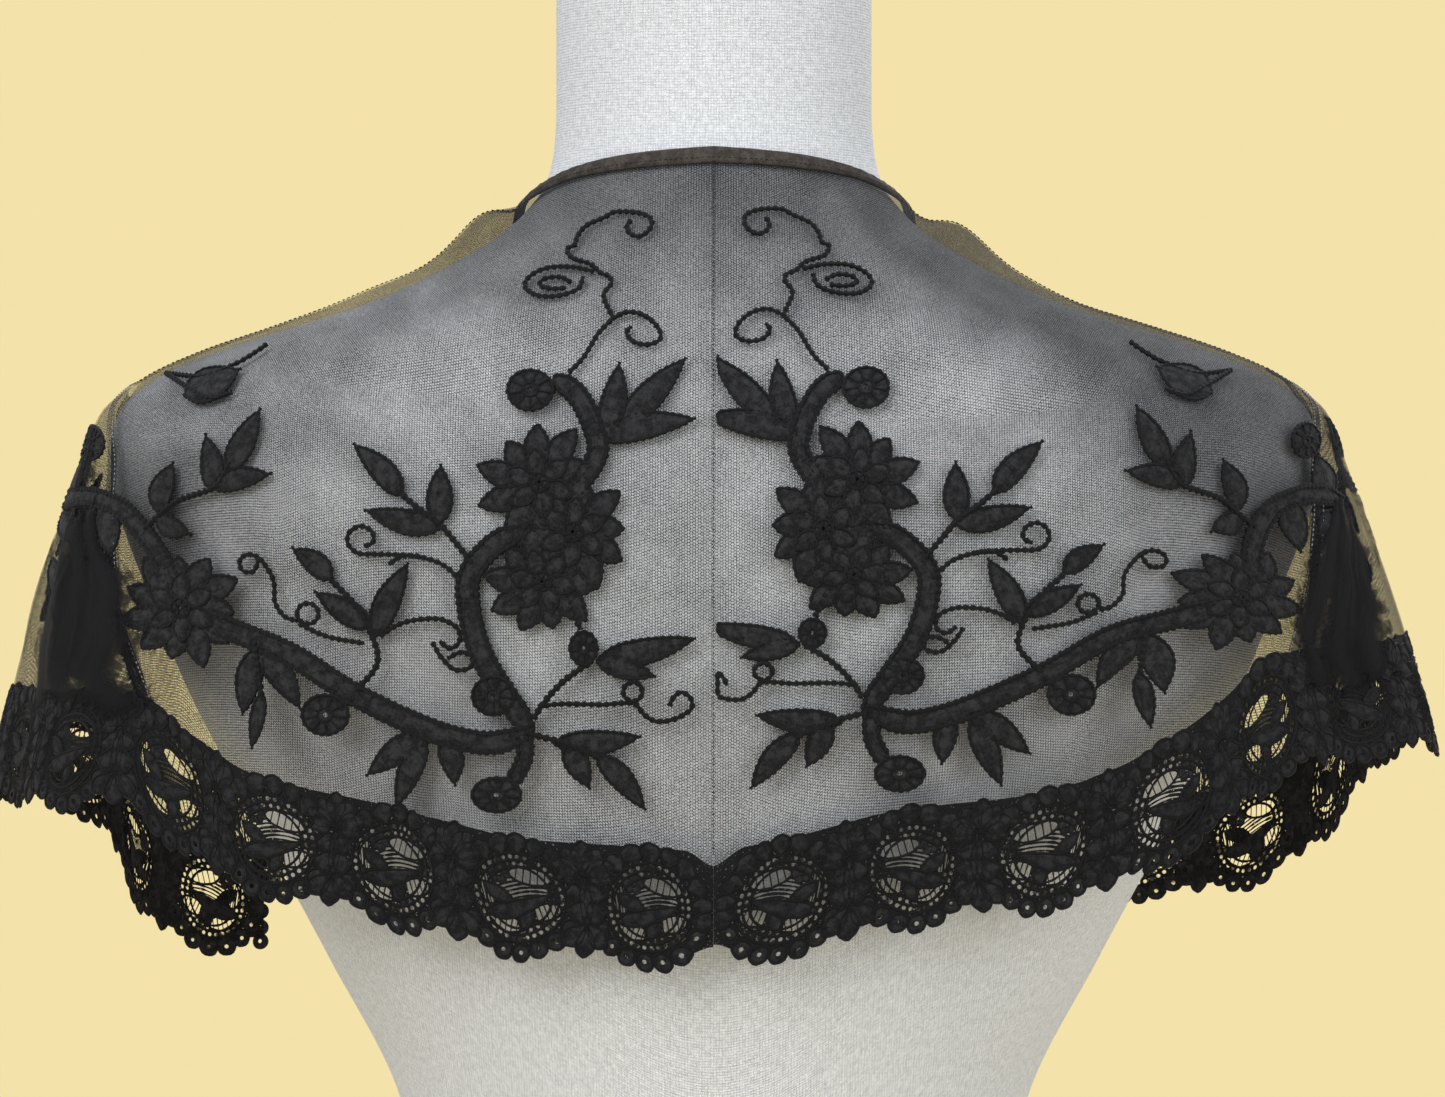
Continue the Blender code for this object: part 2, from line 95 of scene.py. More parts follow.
# Bell of the cape where it leaves the form: height, half width, depth to the back, depth to the front
bellSections = [
    (0, 30, 30, 30),
    (-60, 140, 70, 60),
    (-74, 184, 84, 78),
    (-83, 199, 92, 88),
    (-100, 206, 98, 98),
    (-116, 212, 102, 106),
    (-149, 222, 106, 119),
    (-175, 228, 108, 128),
    (-195, 232, 108, 133),
    (-215, 234, 107, 135),
    (-240, 235, 106, 136),
    (-290, 236, 105, 137),
]

# Open front edge: height, distance from the middle on the wearer's left and right
frontEdge = [(-20, 52, 52), (-35, 57, 56), (-60, 66, 63), (-100, 86, 80), (-150, 114, 102), (-200, 143, 124),
             (-240, 161, 138)]

# Neck edge: angle from the side towards the front, height
neckEdge = [
    (-90, 0), (-60, -2), (-40, -4.5), (-20, -8.5), (0, -13.5), (20, -20), (45, -32), (70, -44), (90, -50),
]

# Lower edge of the net: angle, height
hemEdge = {
    -1: [(-90, -220), (-84, -218), (-76, -216), (-69, -210), (-62, -204), (-52, -196), (-45, -184),
         (-38, -173), (0, -173), (16, -176), (23, -182), (33, -217), (42, -230), (50, -234), (90, -236)],
    1: [(-90, -220), (-84, -215), (-76, -207), (-66, -203), (-59, -197), (-54, -188), (-46, -173),
        (-38, -160), (0, -156), (12, -162), (24, -178), (34, -200), (42, -212), (52, -214), (90, -218)],
}

# Armhole seam: height, angle from the side towards the back; the front runs closer to the side
frontArmholeShare = 0.75
armhole = [
    (-73.5, 0.8), (-76, 7), (-80, 12), (-88, 18), (-100, 22), (-116, 25), (-143, 31), (-165, 37),
    (-182, 41),
]

# Shares of the way from the neck edge to the hem: under the neck band, and where the sleeve starts
netTopShare = 0.0195
shoulderEndShare = 0.352
sleeveTopShare = 0.395

# Flutes of the loose cloth: side, angle, angular width, heights where it starts and is full, outward
flutes = [
    (-1, -66, 2.5, -170, -215, -2.2),
    (-1, -55, 6, -140, -215, 3.0),
    (-1, -33, 7, -110, -200, 4.0),
    (-1, -12, 7, -110, -200, -4.5),
    (-1, 6, 8, -100, -200, 4.0),
    (-1, 27, 7, -110, -210, -5.0),
    (-1, 43, 8, -110, -220, 5.0),
    (-1, 61, 7, -130, -230, -3.0),
    (-1, 76, 7, -140, -230, 3.0),
    (1, -60, 2.5, -150, -200, -2.4),
    (1, -50, 6, -130, -200, 3.5),
    (1, -29, 7, -110, -190, -3.5),
    (1, -10, 8, -100, -190, 4.0),
    (1, 12, 7, -110, -200, -4.0),
    (1, 33, 8, -110, -210, 5.0),
    (1, 52, 7, -120, -220, -4.0),
    (1, 69, 8, -140, -230, 3.5),
]

# Loose cloth standing up over the shoulders: side, angle, angular width, height, spread of height, rise
shoulderFolds = [
    (-1, 8, 26, -24, 8, 9.0),
    (-1, 14, 20, -46, 7, 3.5),
    (1, 6, 20, -29, 7, 7.0),
    (1, 16, 14, -41, 5, 3.0),
]

# Creases: side, angle and height of one end, angle and height of the other, width, outward at its middle
creases = [
    (-1, -66, -226, -70, -186, 2.6, 1.1),
    (-1, -58, -214, -62, -172, 3.4, 0.9),
    (-1, -47, -196, -40, -150, 4.5, 1.6),
    (-1, -24, -178, -16, -112, 5.5, 2.2),
    (-1, -6, -176, -4, -120, 4.0, 1.7),
    (-1, 12, -180, 8, -104, 6.0, 2.4),
    (-1, 34, -224, 22, -130, 5.0, 2.0),
    (-1, 47, -238, 40, -150, 6.5, 2.2),
    (-1, 2, -22, 44, -72, 5.0, 1.2),
    (-1, -8, -18, -34, -44, 6.0, 0.8),
    (1, -61, -214, -60, -160, 2.6, 1.2),
    (1, -52, -198, -57, -150, 3.6, 0.8),
    (1, -40, -172, -34, -122, 5.0, 1.7),
    (1, -18, -164, -12, -100, 5.5, 2.1),
    (1, 3, -164, 5, -112, 4.2, 1.6),
    (1, 22, -186, 14, -106, 6.0, 2.3),
    (1, 43, -220, 34, -134, 5.5, 2.1),
    (1, 57, -226, 50, -160, 5.0, 1.6),
    (1, 4, -26, 38, -66, 5.0, 1.1),
    (1, -10, -20, -30, -42, 5.5, 0.8),
]
creaseMmPerDegree = 2.4

# Folds of net lying on the net: side, closeness of their cells, then rows of height, start and end angle
foldFlaps = [
    (-1, 0.97, [(-106, -21, -13), (-120, -26, -11), (-134, -34, -9), (-152, -42, -8), (-186, -45, -9)]),
    (-1, 0.90, [(-124, -26, -17), (-138, -31, -15), (-154, -34, -17), (-174, -36, -19)]),
    (-1, 0.85, [(-86, -14, -8), (-98, -17, -8), (-110, -21, -9)]),
    (-1, 0.45, [(-108, -1, 3), (-122, 0, 6), (-138, 1, 5)]),
    (1, 0.97, [(-106, -20, -13), (-120, -26, -14), (-134, -33, -14), (-150, -38, -13), (-178, -41, -14)]),
    (1, 0.90, [(-116, -22, -16), (-130, -25, -17), (-146, -30, -19), (-164, -33, -20)]),
    (1, 0.80, [(-84, -15, -10), (-96, -18, -9)]),
    (1, 0.45, [(-104, 0, 4), (-120, 1, 6), (-134, 2, 5)]),
]


def curveThrough(rows, column):
    # smooth curve through a table's column that never overshoots its rows
    ordered = sorted((row[0], row[column]) for row in rows)
    xs = np.array([row[0] for row in ordered], float)
    ys = np.array([row[1] for row in ordered], float)
    rises = np.diff(ys) / np.diff(xs)
    before = rises[:-1]
    after = rises[1:]
    alike = before * after > 0
    inner = np.where(alike, 2 * before * after / np.where(alike, before + after, 1.0), 0.0)
    slopes = np.concatenate([rises[:1], inner, rises[-1:]])

    def valueAt(at):
        at = np.clip(np.asarray(at, float), xs[0], xs[-1])
        low = np.clip(np.searchsorted(xs, at) - 1, 0, len(xs) - 2)
        gap = xs[low + 1] - xs[low]
        share = (at - xs[low]) / gap
        square = share * share
        cube = square * share
        return (
            (2 * cube - 3 * square + 1) * ys[low]
            + (cube - 2 * square + share) * gap * slopes[low]
            + (3 * square - 2 * cube) * ys[low + 1]
            + (cube - square) * gap * slopes[low + 1]
        )

    return valueAt


formCurves = [curveThrough(formSections, column) for column in (1, 2, 3, 4)]
bellCurves = [curveThrough(bellSections, column) for column in (1, 2, 3)]
neckCurve = curveThrough(neckEdge, 1)
armholeCurve = curveThrough(armhole, 1)
hemCurves = {side: curveThrough(hemEdge[side], 1) for side in sides}
frontCurves = {-1: curveThrough(frontEdge, 1), 1: curveThrough(frontEdge, 2)}


def ease(low, high, at):
    # 0 before low, 1 past high, smooth between; low may be above high
    share = np.clip((np.asarray(at, float) - low) / (high - low), 0.0, 1.0)
    return share * share * (3 - 2 * share)


def sectionRadius(halfWidth, depth, roundness, direction):
    across = np.abs(np.cos(direction)) / halfWidth
    along = np.abs(np.sin(direction)) / depth
    return (across**roundness + along**roundness) ** (-1 / roundness)


def creaseLift(side, angle, height):
    lift = np.zeros(np.shape(angle))
    for creaseSide, angleA, heightA, angleB, heightB, width, outward in creases:
        if creaseSide != side:
            continue
        runX = (angleB - angleA) * creaseMmPerDegree
        runY = heightB - heightA
        awayX = (angle - angleA) * creaseMmPerDegree
        awayY = height - heightA
        length = math.hypot(runX, runY)
        along = (awayX * runX + awayY * runY) / length**2
        off = (awayX * runY - awayY * runX) / length
        taper = np.clip(along, 0, 1) * np.clip(1 - along, 0, 1) * 4
        lift = lift + outward * np.exp(-((off / width) ** 2)) * taper
    return lift


# How much closer the net lies over each shoulder blade
shoulderDensity = {-1: 0.10, 1: 0.26}


def closeness(side, angle, height):
    # how closely the net's cells lie: more so towards the neck, over the shoulders and on the sleeves
    sleeve = ease(48, 36, np.abs(angle)) * ease(-84, -104, height) * ease(12, -10, angle)
    shoulder = ease(-66, -44, angle) * ease(-150, -70, height)
    return np.maximum.reduce([0.2 * ease(-80, -10, height), 0.22 * sleeve, shoulderDensity[side] * shoulder])


# How softly the cape leaves the form
cornerBlend = 4.0


def capePositions(side, angle, height):
    # the cape's inner face; angle -90 is the centre back, 0 the side, 90 the centre front
    angle, height = np.broadcast_arrays(np.asarray(angle, float), np.asarray(height, float))
    form = [curve(height) for curve in formCurves]
    bell = [curve(height) for curve in bellCurves]
    formDepth = np.where(angle < 0, form[1], form[2])
    bellDepth = np.where(angle < 0, bell[1], bell[2])
    turn = np.radians(angle)
    widest = np.maximum(form[0], bell[0])
    deepest = np.maximum(formDepth, bellDepth)
    direction = np.arctan2(deepest * np.sin(turn), widest * np.cos(turn))
    overForm = sectionRadius(form[0], formDepth, form[3], direction)
    overBell = sectionRadius(bell[0], bellDepth, 2.0, direction)
    for foldSide, centre, width, start, full, outward in flutes:
        if foldSide == side:
            across = np.exp(-(((angle - centre) / width) ** 2))
            overBell = overBell + outward * across * ease(start, full, height)
    difference = overForm - overBell
    rounded = np.sqrt(difference * difference + cornerBlend**2)
    radius = 0.5 * (overForm + overBell + rounded) + creaseLift(side, angle, height)
    lift = np.zeros(np.shape(angle))
    for foldSide, centre, width, middle, spread, rise in shoulderFolds:
        if foldSide == side:
            across = np.exp(-(((angle - centre) / width) ** 2))
            lift = lift + rise * across * np.exp(-(((height - middle) / spread) ** 2))
    lift = lift * ease(1, 15, neckCurve(angle) - height)
    return np.stack([side * radius * np.cos(direction), radius * np.sin(direction), height + lift], axis=-1)


def capeNormals(side, angle, height):
    step = 0.5
    around = capePositions(side, angle + step, height) - capePositions(side, angle - step, height)
    up = capePositions(side, angle, height + step) - capePositions(side, angle, height - step)
    normal = np.cross(around, up) * side
    return normal / np.linalg.norm(normal, axis=-1, keepdims=True)


def capePoints(side, angle, height, out):
    angle, height = np.broadcast_arrays(np.asarray(angle, float), np.asarray(height, float))
    out = np.broadcast_to(np.asarray(out, float), angle.shape)
    return capePositions(side, angle, height) + capeNormals(side, angle, height) * out[..., None]


def moveRound(side, angle, height, distance):
    step = 0.5
    around = capePositions(side, angle + step, height) - capePositions(side, angle - step, height)
    return angle + distance * 2 * step / np.linalg.norm(around, axis=-1)


def heightAt(side, angle, share):
    top = neckCurve(angle)
    return top + share * (hemCurves[side](angle) - top)


def armholeAngles(side, shares, front):
    angle = np.full(len(shares), 0.8)
    for _ in range(40):
        height = heightAt(side, angle if front else -angle, shares)
        wanted = armholeCurve(height) * (frontArmholeShare if front else 1)
        angle = 0.5 * (angle + wanted)
    opened = np.clip((shares - shoulderEndShare) / (sleeveTopShare - shoulderEndShare), 0, 1)
    return angle * opened


def frontEdgeAngles(side, shares):
    angle = np.full(len(shares), 48.0)
    for _ in range(30):
        height = heightAt(side, angle, shares)
        spread = np.abs(capePositions(side, angle, height)[..., 0]) - frontCurves[side](height)
        angle = angle + np.degrees(spread / 250)
    return angle


def toWorld(points):
    return (np.asarray(points, float) + (0, 0, napeHeight)) * mm


# Shared shader groups
def newGroup(name, inputs, outputs):
    group = bpy.data.node_groups.new(name, "ShaderNodeTree")
    for label, kind, value in inputs:
        socket = group.interface.new_socket(label, in_out="INPUT", socket_type=kind)
        if value is not None:
            socket.default_value = value
    for label, kind in outputs:
        group.interface.new_socket(label, in_out="OUTPUT", socket_type=kind)
    return group, group.nodes.new("NodeGroupInput"), group.nodes.new("NodeGroupOutput")


def mathNode(tree, operation, first, second=None, third=None):
    node = tree.nodes.new("ShaderNodeMath")
    node.operation = operation
    for index, value in enumerate((first, second, third)):
        if value is None:
            continue
        if isinstance(value, (int, float)):
            node.inputs[index].default_value = value
        else:
            tree.links.new(value, node.inputs[index])
    return node.outputs[0]


def vectorMath(tree, operation, first, second):
    node = tree.nodes.new("ShaderNodeVectorMath")
    node.operation = operation
    for index, value in enumerate((first, second)):
        if isinstance(value, tuple):
            node.inputs[index].default_value = value
        elif operation == "SCALE" and index == 1:
            tree.links.new(value, node.inputs["Scale"])
        else:
            tree.links.new(value, node.inputs[index])
    return node.outputs["Value"] if operation == "DOT_PRODUCT" else node.outputs["Vector"]


def mapRange(tree, value, low, high, toLow=0.0, toHigh=1.0):
    node = tree.nodes.new("ShaderNodeMapRange")
    node.interpolation_type = "SMOOTHSTEP"
    labels = ("Value", "From Min", "From Max", "To Min", "To Max")
    for label, number in zip(labels, (value, low, high, toLow, toHigh)):
        if isinstance(number, (int, float)):
            node.inputs[label].default_value = number
        else:
            tree.links.new(number, node.inputs[label])
    return node.outputs["Result"]


def noiseNode(tree, vector, scale, detail=2.0, roughness=0.5):
    node = tree.nodes.new("ShaderNodeTexNoise")
    node.inputs["Scale"].default_value = scale
    node.inputs["Detail"].default_value = detail
    node.inputs["Roughness"].default_value = roughness
    tree.links.new(vector, node.inputs["Vector"])
    return node


def mixColours(tree, factor, first, second):
    node = tree.nodes.new("ShaderNodeMix")
    node.data_type = "RGBA"
    tree.links.new(factor, node.inputs["Factor"])
    for index, value in ((6, first), (7, second)):
        if isinstance(value, tuple):
            node.inputs[index].default_value = (*value, 1)
        else:
            tree.links.new(value, node.inputs[index])
    return node.outputs[2]


def buildHexNet():
    # six-sided net: how open it is, and the height of its threads
    group, into, out = newGroup(
        "hexNet",
        [("Vector", "NodeSocketVector", None), ("Cell", "NodeSocketFloat", 0.0011),
         ("Open", "NodeSocketFloat", 0.2), ("Softness", "NodeSocketFloat", 0.5),
         ("Waver", "NodeSocketFloat", 0.00025)],
        [("Thread", "NodeSocketFloat"), ("Height", "NodeSocketFloat")],
    )
    waver = noiseNode(group, into.outputs["Vector"], 160.0, 3.0, 0.6)
    centred = vectorMath(group, "SUBTRACT", waver.outputs["Color"], (0.5, 0.5, 0.5))
    shifted = vectorMath(group, "SCALE", centred, into.outputs["Waver"])
    place = vectorMath(group, "ADD", into.outputs["Vector"], shifted)
    waveNumber = mathNode(group, "DIVIDE", 4 * math.pi / math.sqrt(3), into.outputs["Cell"])
    waves = None
    for step in range(3):
        turn = math.radians(60 * step)
        along = vectorMath(group, "DOT_PRODUCT", place, (math.cos(turn), math.sin(turn), 0.0))
        wave = mathNode(group, "COSINE", mathNode(group, "MULTIPLY", along, waveNumber))
        waves = wave if waves is None else mathNode(group, "ADD", waves, wave)
    tension = noiseNode(group, into.outputs["Vector"], 45.0, 2.0, 0.5)
    uneven = mathNode(group, "MULTIPLY_ADD", tension.outputs["Fac"], 0.6, -0.3)
    fine = noiseNode(group, into.outputs["Vector"], 1500.0, 1.0, 0.5)
    uneven = mathNode(group, "ADD", uneven, mathNode(group, "MULTIPLY_ADD", fine.outputs["Fac"], 1.8, -0.9))
    edge = mathNode(group, "ADD", into.outputs["Open"], uneven)
    low = mathNode(group, "SUBTRACT", edge, into.outputs["Softness"])
    high = mathNode(group, "ADD", edge, into.outputs["Softness"])
    thread = mapRange(group, waves, low, high, 1.0, 0.0)
    group.links.new(thread, out.inputs["Thread"])
    group.links.new(mathNode(group, "MULTIPLY", waves, -0.3), out.inputs["Height"])
    return group


def buildPlainWeave():
    # over and under threads with slubs: height of the cloth and a shade for each thread
    group, into, out = newGroup(
        "plainWeave",
        [("Vector", "NodeSocketVector", None), ("Pitch", "NodeSocketFloat", 0.001),
         ("Slub", "NodeSocketFloat", 0.5)],
        [("Height", "NodeSocketFloat"), ("Shade", "NodeSocketFloat")],
    )
    waver = noiseNode(group, into.outputs["Vector"], 220.0, 2.0, 0.5)
    centred = vectorMath(group, "SUBTRACT", waver.outputs["Color"], (0.5, 0.5, 0.5))
    bend = mathNode(group, "MULTIPLY", into.outputs["Pitch"], 0.55)
    place = vectorMath(group, "ADD", into.outputs["Vector"], vectorMath(group, "SCALE", centred, bend))
    split = group.nodes.new("ShaderNodeSeparateXYZ")
    group.links.new(place, split.inputs[0])
    turns = mathNode(group, "DIVIDE", math.pi, into.outputs["Pitch"])
    warp = mathNode(group, "SINE", mathNode(group, "MULTIPLY", split.outputs["X"], turns))
    weft = mathNode(group, "SINE", mathNode(group, "MULTIPLY", split.outputs["Y"], turns))
    over = mapRange(group, mathNode(group, "MULTIPLY", warp, weft), -0.35, 0.35)
    beneath = mathNode(group, "SUBTRACT", 1.0, over)
    warpTop = mathNode(group, "MULTIPLY", mathNode(group, "ABSOLUTE", warp), over)
    weftTop = mathNode(group, "MULTIPLY", mathNode(group, "ABSOLUTE", weft), beneath)
    height = mathNode(group, "ADD", warpTop, weftTop)
    shades = []
    for stretch in ((1300.0, 260.0, 1.0), (260.0, 1300.0, 1.0)):
        mapping = group.nodes.new("ShaderNodeMapping")
        mapping.inputs["Scale"].default_value = stretch
        group.links.new(into.outputs["Vector"], mapping.inputs["Vector"])
        shades.append(noiseNode(group, mapping.outputs["Vector"], 1.0, 2.0, 0.6).outputs["Fac"])
    warpShade = mathNode(group, "MULTIPLY", shades[0], over)
    weftShade = mathNode(group, "MULTIPLY", shades[1], beneath)
    shade = mathNode(group, "ADD", warpShade, weftShade)
    slub = mathNode(group, "MULTIPLY", shade, into.outputs["Slub"])
    group.links.new(mathNode(group, "ADD", height, slub), out.inputs["Height"])
    group.links.new(shade, out.inputs["Shade"])
    return group


# Lace edging: one repeat, drawn from the middle of its medallion
lace = {
    "repeat": 40.0,
    "depth": 38.0,
    "overlap": 0.8,
    "middle": 18.0,
    "petals": 18,
    "petalInner": (13.2, 13.4),
    "petalOuter": (20.4, 19.9),
    "ground": (18.6, 17.6),
    "jointTop": -0.4,
    "jointFoot": 31.0,
    "rims": [(13.4, 13.8), (11.2, 11.6), (9.2, 9.5)],
    "beadRows": [(12.2, 12.6), (10.2, 10.5), (17.4, 17.0)],
    "beads": (34, 28, 18),
    "beadSize": (0.72, 0.62, 0.75),
    "groundSpacing": 2.0,
    "endDiscs": (3.5, 9.5, 15.5, 21.5, 27.5, 32.5),
}

hexNet = buildHexNet()
plainWeave = buildPlainWeave()


def newMaterial(name, colour, roughness, sheen=0.0, specular=0.3):
    material = bpy.data.materials.new(name)
    material.use_nodes = True
    shader = material.node_tree.nodes["Principled BSDF"]
    shader.inputs["Base Color"].default_value = (*colour, 1)
    shader.inputs["Roughness"].default_value = roughness
    shader.inputs["Sheen Weight"].default_value = sheen
    shader.inputs["Sheen Roughness"].default_value = 0.45
    shader.inputs["Specular IOR Level"].default_value = specular
    return material, material.node_tree, shader


def placeGroup(tree, group, vector, values):
    node = tree.nodes.new("ShaderNodeGroup")
    node.node_tree = group
    tree.links.new(vector, node.inputs["Vector"])
    for label, value in values.items():
        node.inputs[label].default_value = value
    return node


def addBump(tree, shader, height, strength, distance):
    bump = tree.nodes.new("ShaderNodeBump")
    bump.inputs["Strength"].default_value = strength
    bump.inputs["Distance"].default_value = distance
    tree.links.new(height, bump.inputs["Height"])
    tree.links.new(bump.outputs["Normal"], shader.inputs["Normal"])


def uvOf(tree):
    node = tree.nodes.new("ShaderNodeUVMap")
    node.uv_map = "clothRun"
    return node.outputs["UV"]


def attributeOf(tree, name):
    node = tree.nodes.new("ShaderNodeAttribute")
    node.attribute_name = name
    return node.outputs["Fac"]


def placeOf(tree):
    return tree.nodes.new("ShaderNodeTexCoord").outputs["Object"]


linenLook = {
    "pitch": 0.0009,
    "slub": 0.8,
    "light": (0.86, 0.87, 0.88),
    "dark": (0.34, 0.35, 0.37),
    # dark: the threads' own darker tone, and the painted shade in the weave's gaps
    "bump": 0.9,
}


def makeLinen():
    material, tree, shader = newMaterial("paleLinenCover", linenLook["light"], 0.9, 0.15, 0.2)
    weave = placeGroup(tree, plainWeave, uvOf(tree), {"Pitch": linenLook["pitch"], "Slub": linenLook["slub"]})
    # painted shade: the weave's low gaps between threads are painted darker, towards linenLook's dark colour;
    # the thread noise is the linen's own tone
    gaps = mapRange(tree, weave.outputs["Height"], 0.15, 1.15)
    thread = mapRange(tree, weave.outputs["Shade"], 0.3, 0.7)
    lit = mathNode(tree, "MULTIPLY", gaps, mathNode(tree, "MULTIPLY_ADD", thread, 0.45, 0.55))
    cloud = noiseNode(tree, placeOf(tree), 14.0, 3.0, 0.6)
    soiled = mapRange(tree, cloud.outputs["Fac"], 0.35, 0.75, 1.0, 0.93)
    colour = mixColours(tree, mathNode(tree, "MULTIPLY", lit, soiled), linenLook["dark"], linenLook["light"])
    tree.links.new(colour, shader.inputs["Base Color"])
    tree.links.new(mapRange(tree, thread, 0.0, 1.0, 0.96, 0.8), shader.inputs["Roughness"])
    addBump(tree, shader, weave.outputs["Height"], linenLook["bump"], 0.00025)
    return material


netLook = {"cell": 0.00095, "open": -1.1, "softness": 0.85, "colour": (0.012, 0.012, 0.014)}


def makeNet(name, look, folded=False):
    material, tree, shader = newMaterial(name, look["colour"], 0.9, 0.05, 0.08)
    net = placeGroup(tree, hexNet, uvOf(tree),
                     {"Cell": look["cell"], "Open": look["open"], "Softness": look["softness"]})
    free = mathNode(tree, "SUBTRACT", 1.0, net.outputs["Thread"])
    dense = attributeOf(tree, "closeness")
    covered = mathNode(tree, "MULTIPLY_ADD", free, dense, net.outputs["Thread"])
    if folded:
        # a fold shows only where its layers lie close, broken up by crumples
        crumple = noiseNode(tree, uvOf(tree), 260.0, 3.0, 0.65)
        broken = mathNode(tree, "ADD", dense, mapRange(tree, crumple.outputs["Fac"], 0.3, 0.7, -0.32, 0.22))
        covered = mathNode(tree, "MULTIPLY", covered, mapRange(tree, broken, 0.22, 0.62))
    tree.links.new(covered, shader.inputs["Alpha"])
    faded = noiseNode(tree, placeOf(tree), 30.0, 3.0, 0.6)
    darker = tuple(0.7 * value for value in look["colour"])
    lighter = tuple(1.5 * value for value in look["colour"])
    tree.links.new(mixColours(tree, faded.outputs["Fac"], darker, lighter), shader.inputs["Base Color"])
    addBump(tree, shader, net.outputs["Height"], 0.6, 0.0002)
    return material


def ovalPlace(tree):
    # place on one lace repeat, in millimetres from its medallion's middle
    split = tree.nodes.new("ShaderNodeSeparateXYZ")
    tree.links.new(uvOf(tree), split.inputs[0])
    turns = mathNode(tree, "FRACT", mathNode(tree, "DIVIDE", split.outputs["X"], lace["repeat"] * mm))
    across = mathNode(tree, "MULTIPLY", mathNode(tree, "SUBTRACT", turns, 0.5), lace["repeat"])
    up = mathNode(tree, "DIVIDE", mathNode(tree, "ADD", split.outputs["Y"], lace["middle"] * mm), mm)
    return across, up


def lengthOf(tree, across, up):
    squares = [mathNode(tree, "MULTIPLY", value, value) for value in (across, up)]
    return mathNode(tree, "SQRT", mathNode(tree, "ADD", *squares))


def beadHoles(tree, across, up, axes, count, size):
    # 1 inside a round hole of an oval row of them
    wide = mathNode(tree, "DIVIDE", across, axes[0])
    high = mathNode(tree, "DIVIDE", up, axes[1])
    turn = mathNode(tree, "ARCTAN2", high, wide)
    part = mathNode(tree, "FRACT", mathNode(tree, "MULTIPLY", turn, count / (2 * math.pi)))
    mean = 0.5 * (axes[0] + axes[1])
    beside = mathNode(tree, "MULTIPLY", mathNode(tree, "SUBTRACT", part, 0.5), 2 * math.pi * mean / count)
    oval = lengthOf(tree, wide, high)
    away = mathNode(tree, "MULTIPLY", mathNode(tree, "SUBTRACT", oval, 1.0), mean)
    apart = lengthOf(tree, beside, away)
    return mapRange(tree, apart, size * 0.75, size * 1.1, 1.0, 0.0), oval


def makeLaceNet():
    # the lace's ground: close outside each medallion, rows of bead holes, and arched threads inside
    look = {"colour": (0.004, 0.004, 0.0045), "arch": (-5.0, -15.0), "archPitch": 1.25}
    material, tree, shader = newMaterial("laceNet", look["colour"], 0.85, 0.05, 0.15)
    across, up = ovalPlace(tree)
    rows = zip(lace["beadRows"], lace["beads"], lace["beadSize"])
    outerRow, innerRow, picotRow = [beadHoles(tree, across, up, *row) for row in rows]
    oval = outerRow[1]
    holes = mathNode(tree, "MAXIMUM", mathNode(tree, "MAXIMUM", outerRow[0], innerRow[0]), picotRow[0])
    fromX = mathNode(tree, "SUBTRACT", across, look["arch"][0])
    fromY = mathNode(tree, "SUBTRACT", up, look["arch"][1])
    reach = lengthOf(tree, fromX, fromY)
    patch = noiseNode(tree, uvOf(tree), 210.0, 2.0, 0.5)
    wave = mathNode(tree, "SINE", mathNode(tree, "MULTIPLY", reach, 2 * math.pi / look["archPitch"]))
    dense = mapRange(tree, patch.outputs["Fac"], 0.35, 0.65, -0.5, 0.75)
    openArch = mapRange(tree, mathNode(tree, "SUBTRACT", wave, dense), -0.25, 0.35)
    worked = noiseNode(tree, uvOf(tree), 170.0, 2.0, 0.5)
    holes = mathNode(tree, "MULTIPLY", holes, mapRange(tree, worked.outputs["Fac"], 0.42, 0.54, 0.2, 0.95))
    inside = mapRange(tree, oval, 0.66, 0.72, 1.0, 0.0)
    fine = noiseNode(tree, uvOf(tree), 1100.0, 1.0, 0.5)
    pinholes = mathNode(tree, "MULTIPLY", mapRange(tree, fine.outputs["Fac"], 0.62, 0.68), 0.7)
    opened = mathNode(tree, "MAXIMUM", mathNode(tree, "MULTIPLY", openArch, inside), holes)
    opened = mathNode(tree, "MAXIMUM", opened, pinholes)
    loose = mathNode(tree, "SUBTRACT", 1.0, attributeOf(tree, "closeness"))
    opened = mathNode(tree, "MULTIPLY", opened, loose)
    tree.links.new(mathNode(tree, "SUBTRACT", 1.0, opened), shader.inputs["Alpha"])
    mottleNoise = noiseNode(tree, placeOf(tree), 90.0, 3.0, 0.6)
    lighter = tuple(2.4 * value for value in look["colour"])
    colour = mixColours(tree, mottleNoise.outputs["Fac"], look["colour"], lighter)
    tree.links.new(colour, shader.inputs["Base Color"])
    addBump(tree, shader, mathNode(tree, "MULTIPLY", opened, -1.0), 0.6, 0.0002)
    return material


padLook = {"pitch": 0.0006, "dark": (0.005, 0.005, 0.006), "light": (0.034, 0.034, 0.036)}


def makeCloth(name, look, bump=0.7):
    # close dull cloth for leaves, petals, stems and the neck band, with painted highlights in mottled patches
    material, tree, shader = newMaterial(name, look["light"], 0.85, 0.05, 0.12)
    weave = placeGroup(tree, plainWeave, uvOf(tree), {"Pitch": look["pitch"], "Slub": 0.8})
    mottleNoise = noiseNode(tree, placeOf(tree), 330.0, 3.0, 0.6)
    # painted highlights: noise patches lighten the colour towards the look's light end, and the same patches
    # are smoother
    paintedHighlights = mapRange(tree, mottleNoise.outputs["Fac"], 0.38, 0.66)
    thread = mapRange(tree, weave.outputs["Shade"], 0.3, 0.7)
    amount = mathNode(tree, "MULTIPLY_ADD", thread, 0.5, mathNode(tree, "MULTIPLY", paintedHighlights, 0.5))
    tree.links.new(mixColours(tree, amount, look["dark"], look["light"]), shader.inputs["Base Color"])
    tree.links.new(mapRange(tree, paintedHighlights, 0.0, 1.0, 0.9, 0.72), shader.inputs["Roughness"])
    addBump(tree, shader, weave.outputs["Height"], bump, 0.00015)
    return material


